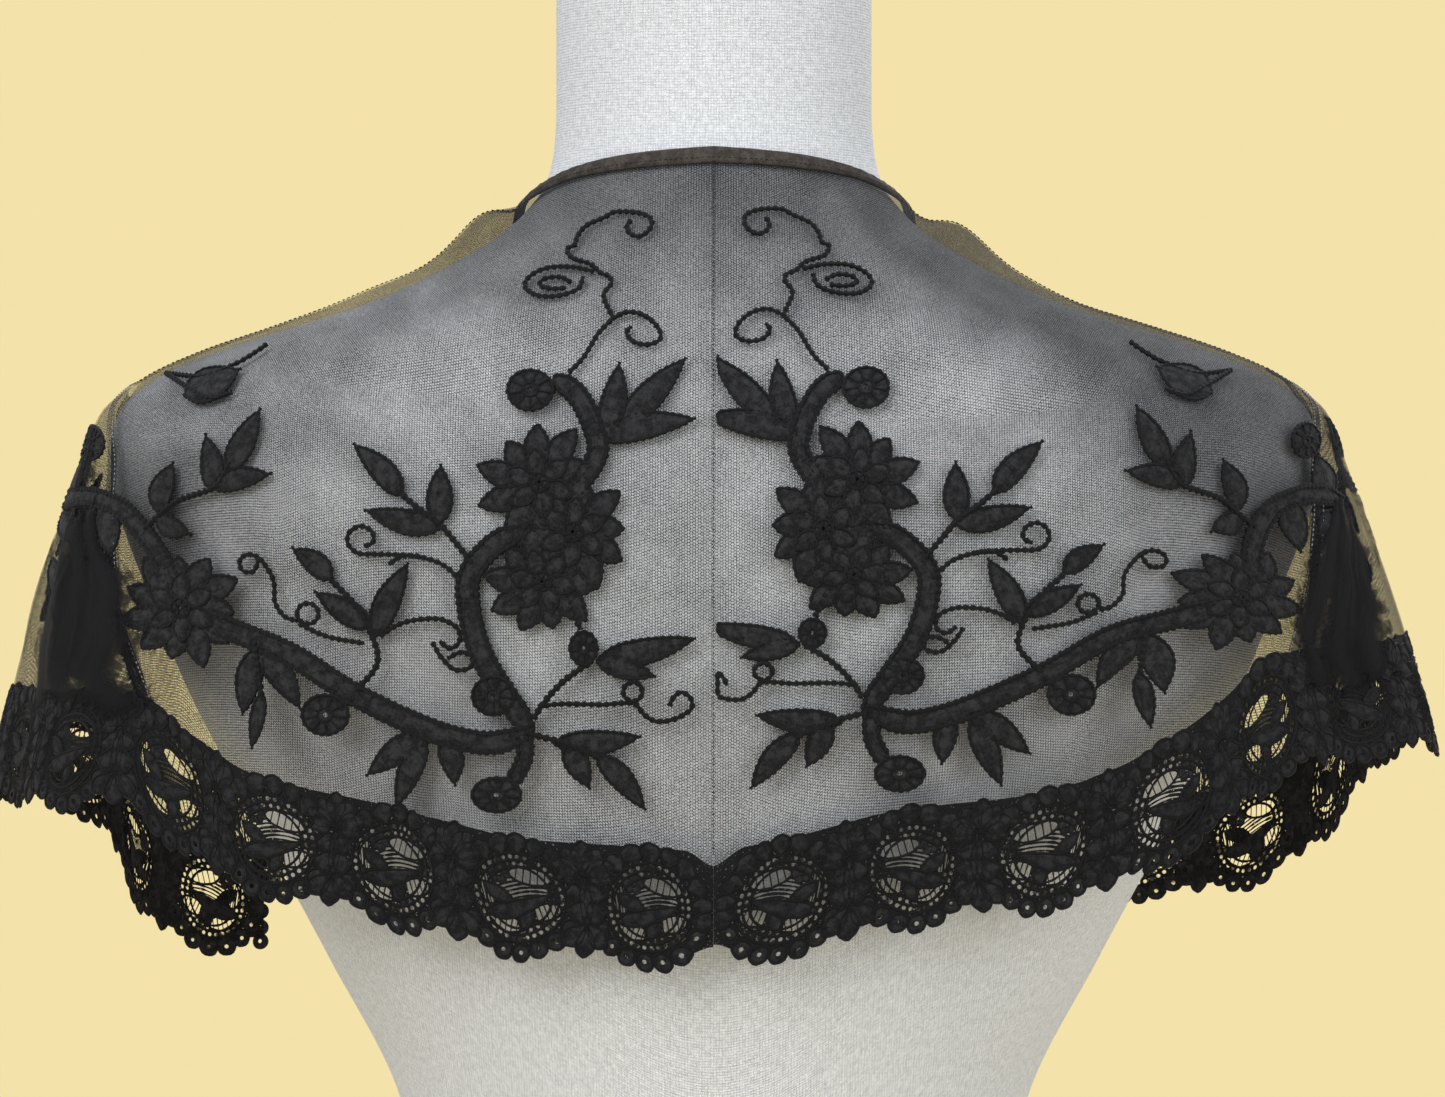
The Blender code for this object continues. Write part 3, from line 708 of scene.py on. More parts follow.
def makeCord(name, dark, light):
    # twisted thread: fine slanting fibres over the stitches' own shape, with painted shade in the twist's
    # grooves
    material, tree, shader = newMaterial(name, dark, 0.75, 0.06, 0.18)
    place = placeOf(tree)
    split = tree.nodes.new("ShaderNodeSeparateXYZ")
    tree.links.new(place, split.inputs[0])
    slant = mathNode(tree, "MULTIPLY_ADD", split.outputs["Z"], 0.7, attributeOf(tree, "threadRun"))
    twist = mathNode(tree, "SINE", mathNode(tree, "MULTIPLY", slant, 9000.0))
    fibre = noiseNode(tree, place, 2200.0, 2.0, 0.6)
    shade = mathNode(tree, "MULTIPLY_ADD", twist, 0.2, fibre.outputs["Fac"])
    # painted shade: the colour follows the same twist heights as the bump, so the twist's grooves are painted
    # darker; the fibre noise is also the thread's own tone
    colour = mixColours(tree, mapRange(tree, shade, 0.3, 0.8), dark, light)
    tree.links.new(colour, shader.inputs["Base Color"])
    tree.links.new(mapRange(tree, fibre.outputs["Fac"], 0.3, 0.7, 0.62, 0.85), shader.inputs["Roughness"])
    addBump(tree, shader, shade, 0.5, 0.0001)
    return material


paleLinen = makeLinen()
silkNet = makeNet("silkNet", netLook)
# painted shade: the folds' net is a darker copy of the silk net's colour
shadedFoldNet = makeNet("shadedFoldNet", dict(netLook, colour=(0.008, 0.008, 0.009)), folded=True)
laceNet = makeLaceNet()
seamNet = makeNet("seamNet", {"cell": 0.001, "open": -1.1, "softness": 0.8, "colour": (0.02, 0.02, 0.022)})
leafCloth = makeCloth("leafCloth", padLook)
laceCloth = makeCloth("laceCloth", {
    "pitch": 0.0005,
    "dark": (0.004, 0.004, 0.005),
    "light": (0.028, 0.028, 0.030),
})
bandCloth = makeCloth("bandCloth", {
    "pitch": 0.0006,
    "dark": (0.030, 0.025, 0.021),
    "light": (0.085, 0.073, 0.063),
})
cordThread = makeCord("cordThread", (0.002, 0.002, 0.0025), (0.009, 0.009, 0.010))
laceThread = makeCord("laceThread", (0.002, 0.002, 0.0025), (0.008, 0.008, 0.009))
paleThread = makeCord("paleThread", (0.16, 0.16, 0.17), (0.34, 0.34, 0.36))
sewingThread = makeCord("sewingThread", (0.008, 0.007, 0.006), (0.030, 0.027, 0.025))
print("materials ready")


# Geometry Nodes trees
def newTree(name, inputs):
    tree = bpy.data.node_groups.new(name, "GeometryNodeTree")
    tree.interface.new_socket("Geometry", in_out="INPUT", socket_type="NodeSocketGeometry")
    tree.interface.new_socket("Geometry", in_out="OUTPUT", socket_type="NodeSocketGeometry")
    for label, kind, value in inputs:
        socket = tree.interface.new_socket(label, in_out="INPUT", socket_type=kind)
        if value is not None:
            socket.default_value = value
    return tree, tree.nodes.new("NodeGroupInput"), tree.nodes.new("NodeGroupOutput")


def addNode(tree, kind, **settings):
    node = tree.nodes.new(kind)
    for name, value in settings.items():
        setattr(node, name, value)
    return node


def finishTree(tree, into, out, geometry):
    realize = addNode(tree, "GeometryNodeRealizeInstances")
    smooth = addNode(tree, "GeometryNodeSetShadeSmooth")
    dress = addNode(tree, "GeometryNodeSetMaterial")
    tree.links.new(geometry, realize.inputs[0])
    tree.links.new(realize.outputs[0], smooth.inputs["Geometry"])
    tree.links.new(smooth.outputs[0], dress.inputs["Geometry"])
    tree.links.new(into.outputs["Material"], dress.inputs["Material"])
    tree.links.new(dress.outputs[0], out.inputs["Geometry"])


def buildCordTree():
    # a worked cord along each path, swelling at every stitch
    tree, into, out = newTree("cordOnPaths", [
        ("Radius", "NodeSocketFloat", 0.0004), ("Stitch", "NodeSocketFloat", 0.0013),
        ("Swell", "NodeSocketFloat", 0.2), ("Step", "NodeSocketFloat", 0.0005),
        ("Sides", "NodeSocketInt", 6), ("Material", "NodeSocketMaterial", None),
    ])
    paths = addNode(tree, "GeometryNodeMeshToCurve")
    even = addNode(tree, "GeometryNodeResampleCurve", mode="LENGTH")
    run = addNode(tree, "GeometryNodeSplineParameter")
    keep = addNode(tree, "GeometryNodeStoreNamedAttribute", data_type="FLOAT", domain="POINT")
    keep.inputs["Name"].default_value = "threadRun"
    profile = addNode(tree, "GeometryNodeCurvePrimitiveCircle")
    tube = addNode(tree, "GeometryNodeCurveToMesh")
    tube.inputs["Fill Caps"].default_value = True
    tree.links.new(into.outputs["Geometry"], paths.inputs["Mesh"])
    tree.links.new(paths.outputs[0], even.inputs["Curve"])
    tree.links.new(into.outputs["Step"], even.inputs["Length"])
    tree.links.new(even.outputs[0], keep.inputs["Geometry"])
    tree.links.new(run.outputs["Length"], keep.inputs["Value"])
    turn = mathNode(tree, "DIVIDE", mathNode(tree, "MULTIPLY", run.outputs["Length"], 2 * math.pi),
                    into.outputs["Stitch"])
    swelling = mathNode(tree, "MULTIPLY", mathNode(tree, "SINE", turn), into.outputs["Swell"])
    tree.links.new(keep.outputs[0], tube.inputs["Curve"])
    tree.links.new(profile.outputs["Curve"], tube.inputs["Profile Curve"])
    tree.links.new(mathNode(tree, "ADD", swelling, 1.0), tube.inputs["Scale"])
    tree.links.new(into.outputs["Radius"], profile.inputs["Radius"])
    tree.links.new(into.outputs["Sides"], profile.inputs["Resolution"])
    finishTree(tree, into, out, tube.outputs[0])
    return tree


def buildStitchTree():
    # separate stitches along each path
    tree, into, out = newTree("stitchesOnPaths", [
        ("Spacing", "NodeSocketFloat", 0.0016), ("Length", "NodeSocketFloat", 0.0009),
        ("Radius", "NodeSocketFloat", 0.00022), ("Material", "NodeSocketMaterial", None),
    ])
    paths = addNode(tree, "GeometryNodeMeshToCurve")
    points = addNode(tree, "GeometryNodeCurveToPoints", mode="LENGTH")
    bead = addNode(tree, "GeometryNodeMeshIcoSphere")
    bead.inputs["Radius"].default_value = 1.0
    bead.inputs["Subdivisions"].default_value = 1
    jitter = addNode(tree, "FunctionNodeRandomValue", data_type="FLOAT")
    jitter.inputs[2].default_value = 0.8
    jitter.inputs[3].default_value = 1.15
    jitter.inputs["Seed"].default_value = 7
    size = addNode(tree, "ShaderNodeCombineXYZ")
    place = addNode(tree, "GeometryNodeInstanceOnPoints")
    tree.links.new(into.outputs["Geometry"], paths.inputs["Mesh"])
    tree.links.new(paths.outputs[0], points.inputs["Curve"])
    tree.links.new(into.outputs["Spacing"], points.inputs["Length"])
    tree.links.new(points.outputs["Points"], place.inputs["Points"])
    tree.links.new(points.outputs["Rotation"], place.inputs["Rotation"])
    tree.links.new(bead.outputs["Mesh"], place.inputs["Instance"])
    half = mathNode(tree, "MULTIPLY", into.outputs["Length"], 0.5)
    tree.links.new(mathNode(tree, "MULTIPLY", half, jitter.outputs[1]), size.inputs["Z"])
    tree.links.new(into.outputs["Radius"], size.inputs["X"])
    tree.links.new(into.outputs["Radius"], size.inputs["Y"])
    tree.links.new(size.outputs[0], place.inputs["Scale"])
    finishTree(tree, into, out, place.outputs[0])
    return tree


def buildRowTree():
    # one length of lace from its repeat
    tree, into, out = newTree("rowOfRepeats", [
        ("Count", "NodeSocketInt", 10), ("Pitch", "NodeSocketFloat", 0.04),
        ("Material", "NodeSocketMaterial", None),
    ])
    line = addNode(tree, "GeometryNodeMeshLine", mode="OFFSET")
    offset = addNode(tree, "ShaderNodeCombineXYZ")
    place = addNode(tree, "GeometryNodeInstanceOnPoints")
    realize = addNode(tree, "GeometryNodeRealizeInstances")
    join = addNode(tree, "GeometryNodeMergeByDistance")
    join.inputs["Distance"].default_value = 0.00001
    tree.links.new(into.outputs["Count"], line.inputs["Count"])
    tree.links.new(into.outputs["Pitch"], offset.inputs["X"])
    tree.links.new(offset.outputs[0], line.inputs["Offset"])
    tree.links.new(line.outputs["Mesh"], place.inputs["Points"])
    tree.links.new(into.outputs["Geometry"], place.inputs["Instance"])
    tree.links.new(place.outputs[0], realize.inputs[0])
    tree.links.new(realize.outputs[0], join.inputs["Geometry"])
    finishTree(tree, into, out, join.outputs[0])
    return tree


cordOnPaths = buildCordTree()
stitchesOnPaths = buildStitchTree()
rowOfRepeats = buildRowTree()


def runTree(tree, mesh, values):
    # evaluates a tree on a mesh and gives the plain mesh that it makes
    source = bpy.data.objects.new("source", mesh)
    bpy.context.collection.objects.link(source)
    modifier = source.modifiers.new(tree.name, "NODES")
    modifier.node_group = tree
    for item in tree.interface.items_tree:
        if item.item_type == "SOCKET" and item.in_out == "INPUT" and item.name in values:
            modifier[item.identifier] = values[item.name]
    graph = bpy.context.evaluated_depsgraph_get()
    made = bpy.data.meshes.new_from_object(source.evaluated_get(graph))
    source.modifiers.remove(modifier)
    bpy.data.objects.remove(source, do_unlink=True)
    return made


# Mesh helpers
def newMesh(name, points, faces, uvs=None):
    mesh = bpy.data.meshes.new(name)
    mesh.from_pydata([tuple(point) for point in points], [], [tuple(face) for face in faces])
    if uvs is not None:
        layer = mesh.uv_layers.new(name="clothRun")
        corner = np.empty(len(mesh.loops), int)
        mesh.loops.foreach_get("vertex_index", corner)
        layer.data.foreach_set("uv", np.asarray(uvs, np.float32)[corner].ravel())
    return mesh


def addPiece(name, mesh, materials, slot, replaced=(), sharp=50):
    mesh.name = name
    chosen = np.zeros(len(mesh.polygons), np.int32)
    if len(materials) > 1:
        mesh.polygons.foreach_get("material_index", chosen)
    mesh.materials.clear()
    for material in materials:
        mesh.materials.append(material)
    mesh.polygons.foreach_set("material_index", chosen)
    mesh.shade_smooth()
    mesh.set_sharp_from_angle(angle=math.radians(sharp))
    piece = bpy.data.objects.new(name, mesh)
    bpy.context.collection.objects.link(piece)
    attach(piece, "root")
    if replaced:
        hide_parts(*replaced)
    return piece


def gridFaces(rows, columns, closedRound=False):
    # quads of a grid numbered row by row, from the top down and anticlockwise from above
    faces = []
    for row in range(rows - 1):
        for column in range(columns if closedRound else columns - 1):
            beside = (column + 1) % columns
            faces.append((row * columns + column, (row + 1) * columns + column, (row + 1) * columns + beside,
                          row * columns + beside))
    return faces


def closeShell(faces, count):
    # the inner face, and walls round every open edge, for an outer face numbered first
    uses = {}
    for face in faces:
        for first, second in zip(face, face[1:] + face[:1]):
            uses.setdefault((min(first, second), max(first, second)), []).append((first, second))
    walls = []
    for use in uses.values():
        if len(use) == 1:
            first, second = use[0]
            walls.append((second, first, first + count, second + count))
    inner = [tuple(index + count for index in reversed(face)) for face in faces]
    return list(faces) + inner + walls


def runLengths(points, axis):
    steps = np.linalg.norm(np.diff(points, axis=axis), axis=-1)
    start = np.zeros_like(np.take(steps, [0], axis=axis))
    return np.concatenate([start, np.cumsum(steps, axis=axis)], axis=axis)


def shellFromGrid(name, side, angles, heights, inner, outer, close=None):
    # thin closed shell over a grid of angles and heights, and the size of the flat cut
    if side < 0:
        angles = angles[:, ::-1]
        heights = heights[:, ::-1]
    if side < 0 and np.ndim(outer) == 2:
        inner = inner[:, ::-1]
        outer = outer[:, ::-1]
        close = close[:, ::-1]
    outside = capePoints(side, angles, heights, outer)
    inside = capePoints(side, angles, heights, inner)
    rows, columns = angles.shape
    across = runLengths(outside, 1)
    down = runLengths(outside, 0)
    if side < 0:
        across = across - across[:, -1:]
    uvs = np.stack([across, -down], axis=-1).reshape(-1, 2) * mm
    points = toWorld(np.concatenate([outside.reshape(-1, 3), inside.reshape(-1, 3)]))
    faces = closeShell(gridFaces(rows, columns), rows * columns)
    mesh = newMesh(name, points, faces, np.concatenate([uvs, uvs]))
    amount = (closeness(side, angles, heights) if close is None else np.full(angles.shape, close)).ravel()
    layer = mesh.attributes.new("closeness", "FLOAT", "POINT")
    layer.data.foreach_set("value", np.concatenate([amount, amount]).astype(np.float32))
    wide = np.linalg.norm(outside[:, 1:] - outside[:, :-1], axis=-1)
    deep = np.linalg.norm(outside[1:] - outside[:-1], axis=-1)
    middleWide = 0.5 * (wide[1:] + wide[:-1])
    middleDeep = 0.5 * (deep[:, 1:] + deep[:, :-1])
    cut = {
        "width": float(wide.sum(axis=1).max()) * mm,
        "length": float(deep.sum(axis=0).max()) * mm,
        "area": float((middleWide * middleDeep).sum()) * mm * mm,
    }
    return mesh, cut


# Camera at the photo's viewing angle, and the room
camera = {"place": (0.0028, -1.5, 0.3731), "sensor": 36.0, "viewWidth": 0.47685, "distance": 1.5}


def makeCamera():
    data = bpy.data.cameras.new("backView")
    data.sensor_width = camera["sensor"]
    data.lens = camera["sensor"] * camera["distance"] / camera["viewWidth"]
    data.clip_start = 0.01
    view = bpy.data.objects.new("backView", data)
    view.location = camera["place"]
    view.rotation_euler = (math.radians(90), 0, 0)
    bpy.context.collection.objects.link(view)
    bpy.context.scene.camera = view


room = {
    "floorRadius": 1.55,
    "floorFade": 0.9,
    "floor": (0.64, 0.57, 0.40),
    "backdrop": (0.90, 0.76, 0.40),
    "air": (0.93, 0.96, 1.0),
    "airStrength": 0.60,
}
lamps = [
    ("keyLamp", (-1.3, -1.9, 1.7), 1.6, 42.0, (0.99, 0.99, 1.0)),
    ("fillLamp", (1.7, -1.5, 1.0), 1.6, 18.0, (0.95, 0.97, 1.0)),
    ("frontLamp", (0.9, 2.0, 1.5), 1.6, 26.0, (1.0, 0.99, 0.97)),
    ("topLamp", (0.1, 0.2, 2.1), 1.2, 8.0, (1.0, 1.0, 1.0)),
]


def makeRoom():
    turns = np.linspace(0, 2 * math.pi, 64, endpoint=False)
    points = [(0.0, 0.0, -0.0004)]
    for radius in (0.5, 1.0, room["floorRadius"]):
        points += [(radius * math.cos(turn), radius * math.sin(turn), -0.0004) for turn in turns]
    faces = [(0, 1 + step, 1 + (step + 1) % 64) for step in range(64)]
    for ring in range(2):
        start = 1 + 64 * ring
        faces += [(start + step, start + 64 + step, start + 64 + (step + 1) % 64, start + (step + 1) % 64)
                  for step in range(64)]
    mesh = newMesh("paleFloor", points, faces)
    mesh.shade_smooth()
    material, tree, shader = newMaterial("palePaper", room["floor"], 0.9, 0.0, 0.2)
    place = placeOf(tree)
    grain = noiseNode(tree, place, 3.0, 3.0, 0.5)
    paler = tuple(min(1.0, 1.05 * value) for value in room["floor"])
    tree.links.new(mixColours(tree, grain.outputs["Fac"], room["floor"], paler), shader.inputs["Base Color"])
    away = tree.nodes.new("ShaderNodeVectorMath")
    away.operation = "LENGTH"
    tree.links.new(place, away.inputs[0])
    faded = mapRange(tree, away.outputs["Value"], room["floorFade"], room["floorRadius"], 1.0, 0.0)
    tree.links.new(faded, shader.inputs["Alpha"])
    mesh.materials.append(material)
    floor = bpy.data.objects.new("paleFloor", mesh)
    bpy.context.collection.objects.link(floor)
    world = bpy.data.worlds.new("softAir")
    world.use_nodes = True
    nodes = world.node_tree.nodes
    air = nodes["Background"]
    air.inputs["Color"].default_value = (*room["air"], 1)
    air.inputs["Strength"].default_value = room["airStrength"]
    backdrop = nodes.new("ShaderNodeBackground")
    backdrop.inputs["Color"].default_value = (*room["backdrop"], 1)
    seen = nodes.new("ShaderNodeLightPath")
    either = nodes.new("ShaderNodeMixShader")
    world.node_tree.links.new(seen.outputs["Is Camera Ray"], either.inputs["Fac"])
    world.node_tree.links.new(air.outputs[0], either.inputs[1])
    world.node_tree.links.new(backdrop.outputs[0], either.inputs[2])
    world.node_tree.links.new(either.outputs[0], nodes["World Output"].inputs["Surface"])
    bpy.context.scene.world = world
    bpy.context.scene.view_settings.view_transform = "Standard"
    for name, place, size, power, colour in lamps:
        data = bpy.data.lights.new(name, "AREA")
        data.size = size
        data.energy = power
        data.color = colour
        lamp = bpy.data.objects.new(name, data)
        lamp.location = place
        aim = np.array((0.0, 0.0, 0.38)) - np.array(place)
        tilt = math.atan2(math.hypot(aim[0], aim[1]), -aim[2])
        lamp.rotation_euler = (tilt, 0, math.atan2(-aim[0], aim[1]))
        bpy.context.collection.objects.link(lamp)


makeCamera()
makeRoom()
print("camera and room ready")


# Dress form
formShape = {"columns": 160, "ringSpacing": 4.0, "topRings": 5}


def makeDressForm():
    heights = []
    ordered = [row[0] for row in formSections]
    for upper, lower in zip(ordered, ordered[1:]):
        steps = max(2, round((upper - lower) / formShape["ringSpacing"]))
        heights += [upper + (lower - upper) * step / steps for step in range(steps)]
    heights.append(ordered[-1])
    turns = np.linspace(0, 2 * math.pi, formShape["columns"], endpoint=False)
    rings = []
    for height in heights:
        halfWidth, back, front, roundness = (float(curve(height)) for curve in formCurves)
        depth = np.where(np.sin(turns) > 0, front, back)
        direction = np.arctan2(depth * np.sin(turns), halfWidth * np.cos(turns))
        radius = sectionRadius(halfWidth, depth, roundness, direction)
        level = np.full(len(turns), height)
        rings.append(np.stack([radius * np.cos(direction), radius * np.sin(direction), level], -1))
    for end, ring in ((0, rings[0]), (-1, rings[-1])):
        smaller = [ring * (1 - step / formShape["topRings"], 1 - step / formShape["topRings"], 1)
                   for step in range(1, formShape["topRings"])]
        rings = smaller[::-1] + rings if end == 0 else rings + smaller
    grid = np.array(rings)
    rows, columns = grid.shape[:2]
    points = list(toWorld(grid.reshape(-1, 3)))
    faces = gridFaces(rows, columns, closedRound=True)
    top = len(points)
    points.append(toWorld((0, 0, heights[0])))
    bottom = len(points)
    points.append(toWorld((0, 0, heights[-1])))
    last = (rows - 1) * columns
    for column in range(columns):
        beside = (column + 1) % columns
        faces.append((top, column, beside))
        faces.append((bottom, last + beside, last + column))
    mesh = newMesh("formCover", points, faces)
    around = runLengths(np.concatenate([grid, grid[:, :1]], axis=1), 1)
    around = around - around[:, 3 * columns // 4:3 * columns // 4 + 1]
    down = runLengths(grid, 0)
    layer = mesh.uv_layers.new(name="clothRun")
    for face, polygon in zip(faces, mesh.polygons):
        wraps = max(index % columns for index in face if index < top) - min(
            index % columns for index in face if index < top) > 1
        for loop in polygon.loop_indices:
            index = mesh.loops[loop].vertex_index
            if index >= top:
                row = 0 if index == top else rows - 1
                column = 0
            else:
                row, column = divmod(index, columns)
            if wraps and column == 0:
                column = columns
            layer.data[loop].uv = (around[row, column] * mm, -down[row, min(column, columns - 1)] * mm)
    return addPiece("formCover", mesh, [paleLinen], "form_cloth", ("dress_form",), sharp=60)


formCover = makeDressForm()
print("dress form ready")


# Net panels
netShape = {"rows": 96, "notch": 4.5, "backColumns": 56, "frontColumns": 44, "sleeveColumns": 84}
seamAngles = {}


def spread(start, end, columns):
    return start[:, None] + (end - start)[:, None] * np.linspace(0, 1, columns + 1)[None, :]


def makeNetPanels(side):
    name = sides[side]
    shares = np.linspace(netTopShare, 1.0, netShape["rows"])
    sleeveShares = np.linspace(sleeveTopShare, 1.0, int(netShape["rows"] * (1 - sleeveTopShare)))
    made = {}

    def panel(label, start, end, rowShares, columns, node):
        angles = spread(start, end, columns)
        heights = heightAt(side, angles, rowShares[:, None])
        notch = np.exp(-(((angles + 90) / 5) ** 2)) * ease(0.93, 1.0, rowShares)[:, None]
        heights = heights - netShape["notch"] * notch
        mesh, cut = shellFromGrid(label, side, angles, heights, layers["netInner"], layers["netOuter"])
        piece = addPiece(label + name, mesh, [silkNet], "net", (node + "_" + name.lower(),))
        made[label] = (piece, cut)

    half = layers["seamGap"] / 2
    backSeam = -armholeAngles(side, shares, False)
    frontSeam = armholeAngles(side, shares, True)
    backStart = moveRound(side, np.full(len(shares), -90.0), heightAt(side, -90.0, shares), half)
    backEnd = moveRound(side, backSeam, heightAt(side, backSeam, shares), -half)
    panel("netBack", backStart, backEnd, shares, netShape["backColumns"], "back")
    frontStart = moveRound(side, frontSeam, heightAt(side, frontSeam, shares), half)
    panel("netFront", frontStart, frontEdgeAngles(side, shares), shares, netShape["frontColumns"], "front")
    sleeveBack = -armholeAngles(side, sleeveShares, False)
    sleeveFront = armholeAngles(side, sleeveShares, True)
    sleeveStart = moveRound(side, sleeveBack, heightAt(side, sleeveBack, sleeveShares), half)
    sleeveEnd = moveRound(side, sleeveFront, heightAt(side, sleeveFront, sleeveShares), -half)
    panel("netSleeve", sleeveStart, sleeveEnd, sleeveShares, netShape["sleeveColumns"], "sleeve")
    return made


flap = {
    "rows": 50,
    "columns": 30,
    "pleats": 4.5,
    "rise": 0.9,
    "pleatRise": 0.35,
    "gap": 0.25,
    "thickness": 0.3,
}


def makeFlap(index, side, close, rows):
    # a pleated fold pressed over the panel, ragged and thinning out at its edges
    shape = (flap["rows"] + 1, flap["columns"] + 1)
    down = np.broadcast_to(np.linspace(0, 1, shape[0])[:, None], shape)
    across = np.broadcast_to(np.linspace(0, 1, shape[1])[None, :], shape)
    heights = rows[0][0] + (rows[-1][0] - rows[0][0]) * down
    starts = curveThrough(rows, 1)(heights[:, 0])[:, None]
    ends = curveThrough(rows, 2)(heights[:, 0])[:, None]
    drift = 0.5 * np.sin(heights / 5.3 + 2.1 * index) + 0.3 * np.sin(heights / 2.6 + 9.0 * across)
    angles = starts + (ends - starts) * across + drift
    turn = across * flap["pleats"] + 0.16 * np.sin(heights / 11.0 + index) + 0.07 * np.sin(heights / 3.7)
    pleat = 0.5 + 0.5 * np.sin(2 * math.pi * turn)
    ragged = 0.03 * np.sin(heights * 0.31 + index) + 0.02 * np.sin(heights * 0.13 + 4.0 * across)
    besideEdge = ease(0.0, 0.26, np.minimum(across, 1 - across) + ragged)
    besideEnd = ease(0.0, 0.18, np.minimum(down, 1 - down) + 0.03 * np.sin(9.0 * across + index))
    amount = np.clip(close * besideEdge * besideEnd * (0.7 + 0.34 * pleat), 0.0, 0.98)
    raised = flap["rise"] * np.sin(math.pi * across) + flap["pleatRise"] * pleat
    under = layers["netOuter"] + flap["gap"] + besideEdge * besideEnd * raised
    mesh, _ = shellFromGrid("fold", side, angles, heights, under, under + flap["thickness"], amount)
    return addPiece(f"netFold{index:02d}" + sides[side], mesh, [shadedFoldNet], "net")


netPanels = {side: makeNetPanels(side) for side in sides}
netFolds = [makeFlap(index, *row) for index, row in enumerate(foldFlaps)]
print("net panels ready")


# Flat work: pads and paths are drawn in millimetres, x across, y up and z out of the cloth
class flatWork:
    def __init__(self):
        self.points = []
        self.faces = []
        self.uvs = []
        self.paths = []

    def addGrid(self, top, bottom, uvs, closedRound=False):
        # a pad from its upper and lower faces, as grids of points; a round one has rings from the rim inwards
        rows, columns = top.shape[:2]
        start = len(self.points)
        self.points += list(top.reshape(-1, 3)) + list(bottom.reshape(-1, 3))
        flatUvs = list(uvs.reshape(-1, 2) * mm)
        self.uvs += flatUvs + flatUvs
        upper = gridFaces(rows, columns, closedRound)
        if closedRound:
            upper = [face[::-1] for face in upper]
        for face in closeShell(upper, rows * columns):
            self.faces.append(tuple(start + index for index in face))

    def addPath(self, route, closed=False, out=0.0, radius="fine"):
        self.paths.append((np.asarray(route, float), closed, out, radius))


def smoothRoute(route, spacing=0.8, closed=False):
    # even points along a smooth curve through given ones
    route = np.asarray(route, float)
    if closed:
        padded = np.concatenate([route[-1:], route, route[:2]])
    else:
        padded = np.concatenate([2 * route[:1] - route[1:2], route, 2 * route[-1:] - route[-2:-1]])
    made = []
    for index in range(1, len(padded) - 2):
        a, b, c, d = padded[index - 1:index + 3]
        steps = max(2, int(np.linalg.norm(c - b) / spacing))
        for step in range(steps):
            t = step / steps
            made.append(0.5 * (2 * b + (c - a) * t + (2 * a - 5 * b + 4 * c - d) * t**2
                               + (3 * b - a - 3 * c + d) * t**3))
    if not closed:
        made.append(route[-1])
    return np.array(made)


def addLeaf(work, base, tip, halfWidth, rise=0.5, under=0.0, cord="leaf", bend=0.0, belly=0.42):
    # a pointed pad, fullest nearer its base, with a corded outline
    base = np.asarray(base, float)
    along = np.asarray(tip, float) - base
    length = np.linalg.norm(along)
    across = np.array((-along[1], along[0])) / length
    shares = np.linspace(0, 1, 9)
    widths = halfWidth * np.sin(math.pi * shares ** (math.log(0.5) / math.log(belly))) ** 0.8 + 0.12
    spine = base + along * shares[:, None] + across * (bend * np.sin(math.pi * shares))[:, None]
    ts = np.linspace(-1, 1, 5)
    top = np.zeros((9, 5, 3))
    top[..., :2] = spine[:, None] + across * (widths[:, None] * ts)[..., None]
    swell = np.sin(math.pi * np.clip(shares, 0.06, 0.94))[:, None] ** 0.5
    top[..., 2] = under + 0.35 + rise * (1 - ts**2) * swell
    bottom = top.copy()
    bottom[..., 2] = under
    uvs = np.stack([np.broadcast_to(widths[:, None] * ts, (9, 5)),
                    np.broadcast_to((shares * length)[:, None], (9, 5))], -1) + base
    work.addGrid(top, bottom, uvs)
    if cord:
        outline = np.concatenate([top[:, 0, :2], top[::-1, 4, :2]])
        work.addPath(smoothRoute(outline, closed=True), True, under + 0.4, cord)


def addRibbon(work, route, halfWidth, rise=0.7, under=0.0, cord="stem"):
    # a stem: an even ribbon with a cord along both edges
    route = smoothRoute(route, 1.6)
    tangent = np.gradient(route, axis=0)
    tangent /= np.linalg.norm(tangent, axis=1, keepdims=True)
    across = np.stack([-tangent[:, 1], tangent[:, 0]], -1)
    shares = np.linspace(0, 1, len(route))
    widths = halfWidth * np.clip(np.minimum(shares, 1 - shares) * 14, 0.25, 1) ** 0.5
    ts = np.linspace(-1, 1, 5)
    top = np.zeros((len(route), 5, 3))
    top[..., :2] = route[:, None] + across[:, None] * (widths[:, None] * ts)[..., None]
    top[..., 2] = under + 0.35 + rise * (1 - ts**2)
    bottom = top.copy()
    bottom[..., 2] = under
    run = np.concatenate([[0], np.cumsum(np.linalg.norm(np.diff(route, axis=0), axis=1))])
    uvs = np.stack([np.broadcast_to(widths[:, None] * ts, top.shape[:2]),
                    np.broadcast_to(run[:, None], top.shape[:2])], -1)
    work.addGrid(top, bottom, uvs)
    outline = np.concatenate([top[:, 0, :2], top[::-1, 4, :2]])
    work.addPath(outline, True, under + 0.45, cord)


def ringPoints(middle, halfWidth, halfHeight, count, turn=0.0, start=0.0):
    angles = np.linspace(0, 2 * math.pi, count, endpoint=False) + start
    x = halfWidth * np.cos(angles)
    y = halfHeight * np.sin(angles)
    return np.stack([middle[0] + x * math.cos(turn) - y * math.sin(turn),
                     middle[1] + x * math.sin(turn) + y * math.cos(turn)], -1)


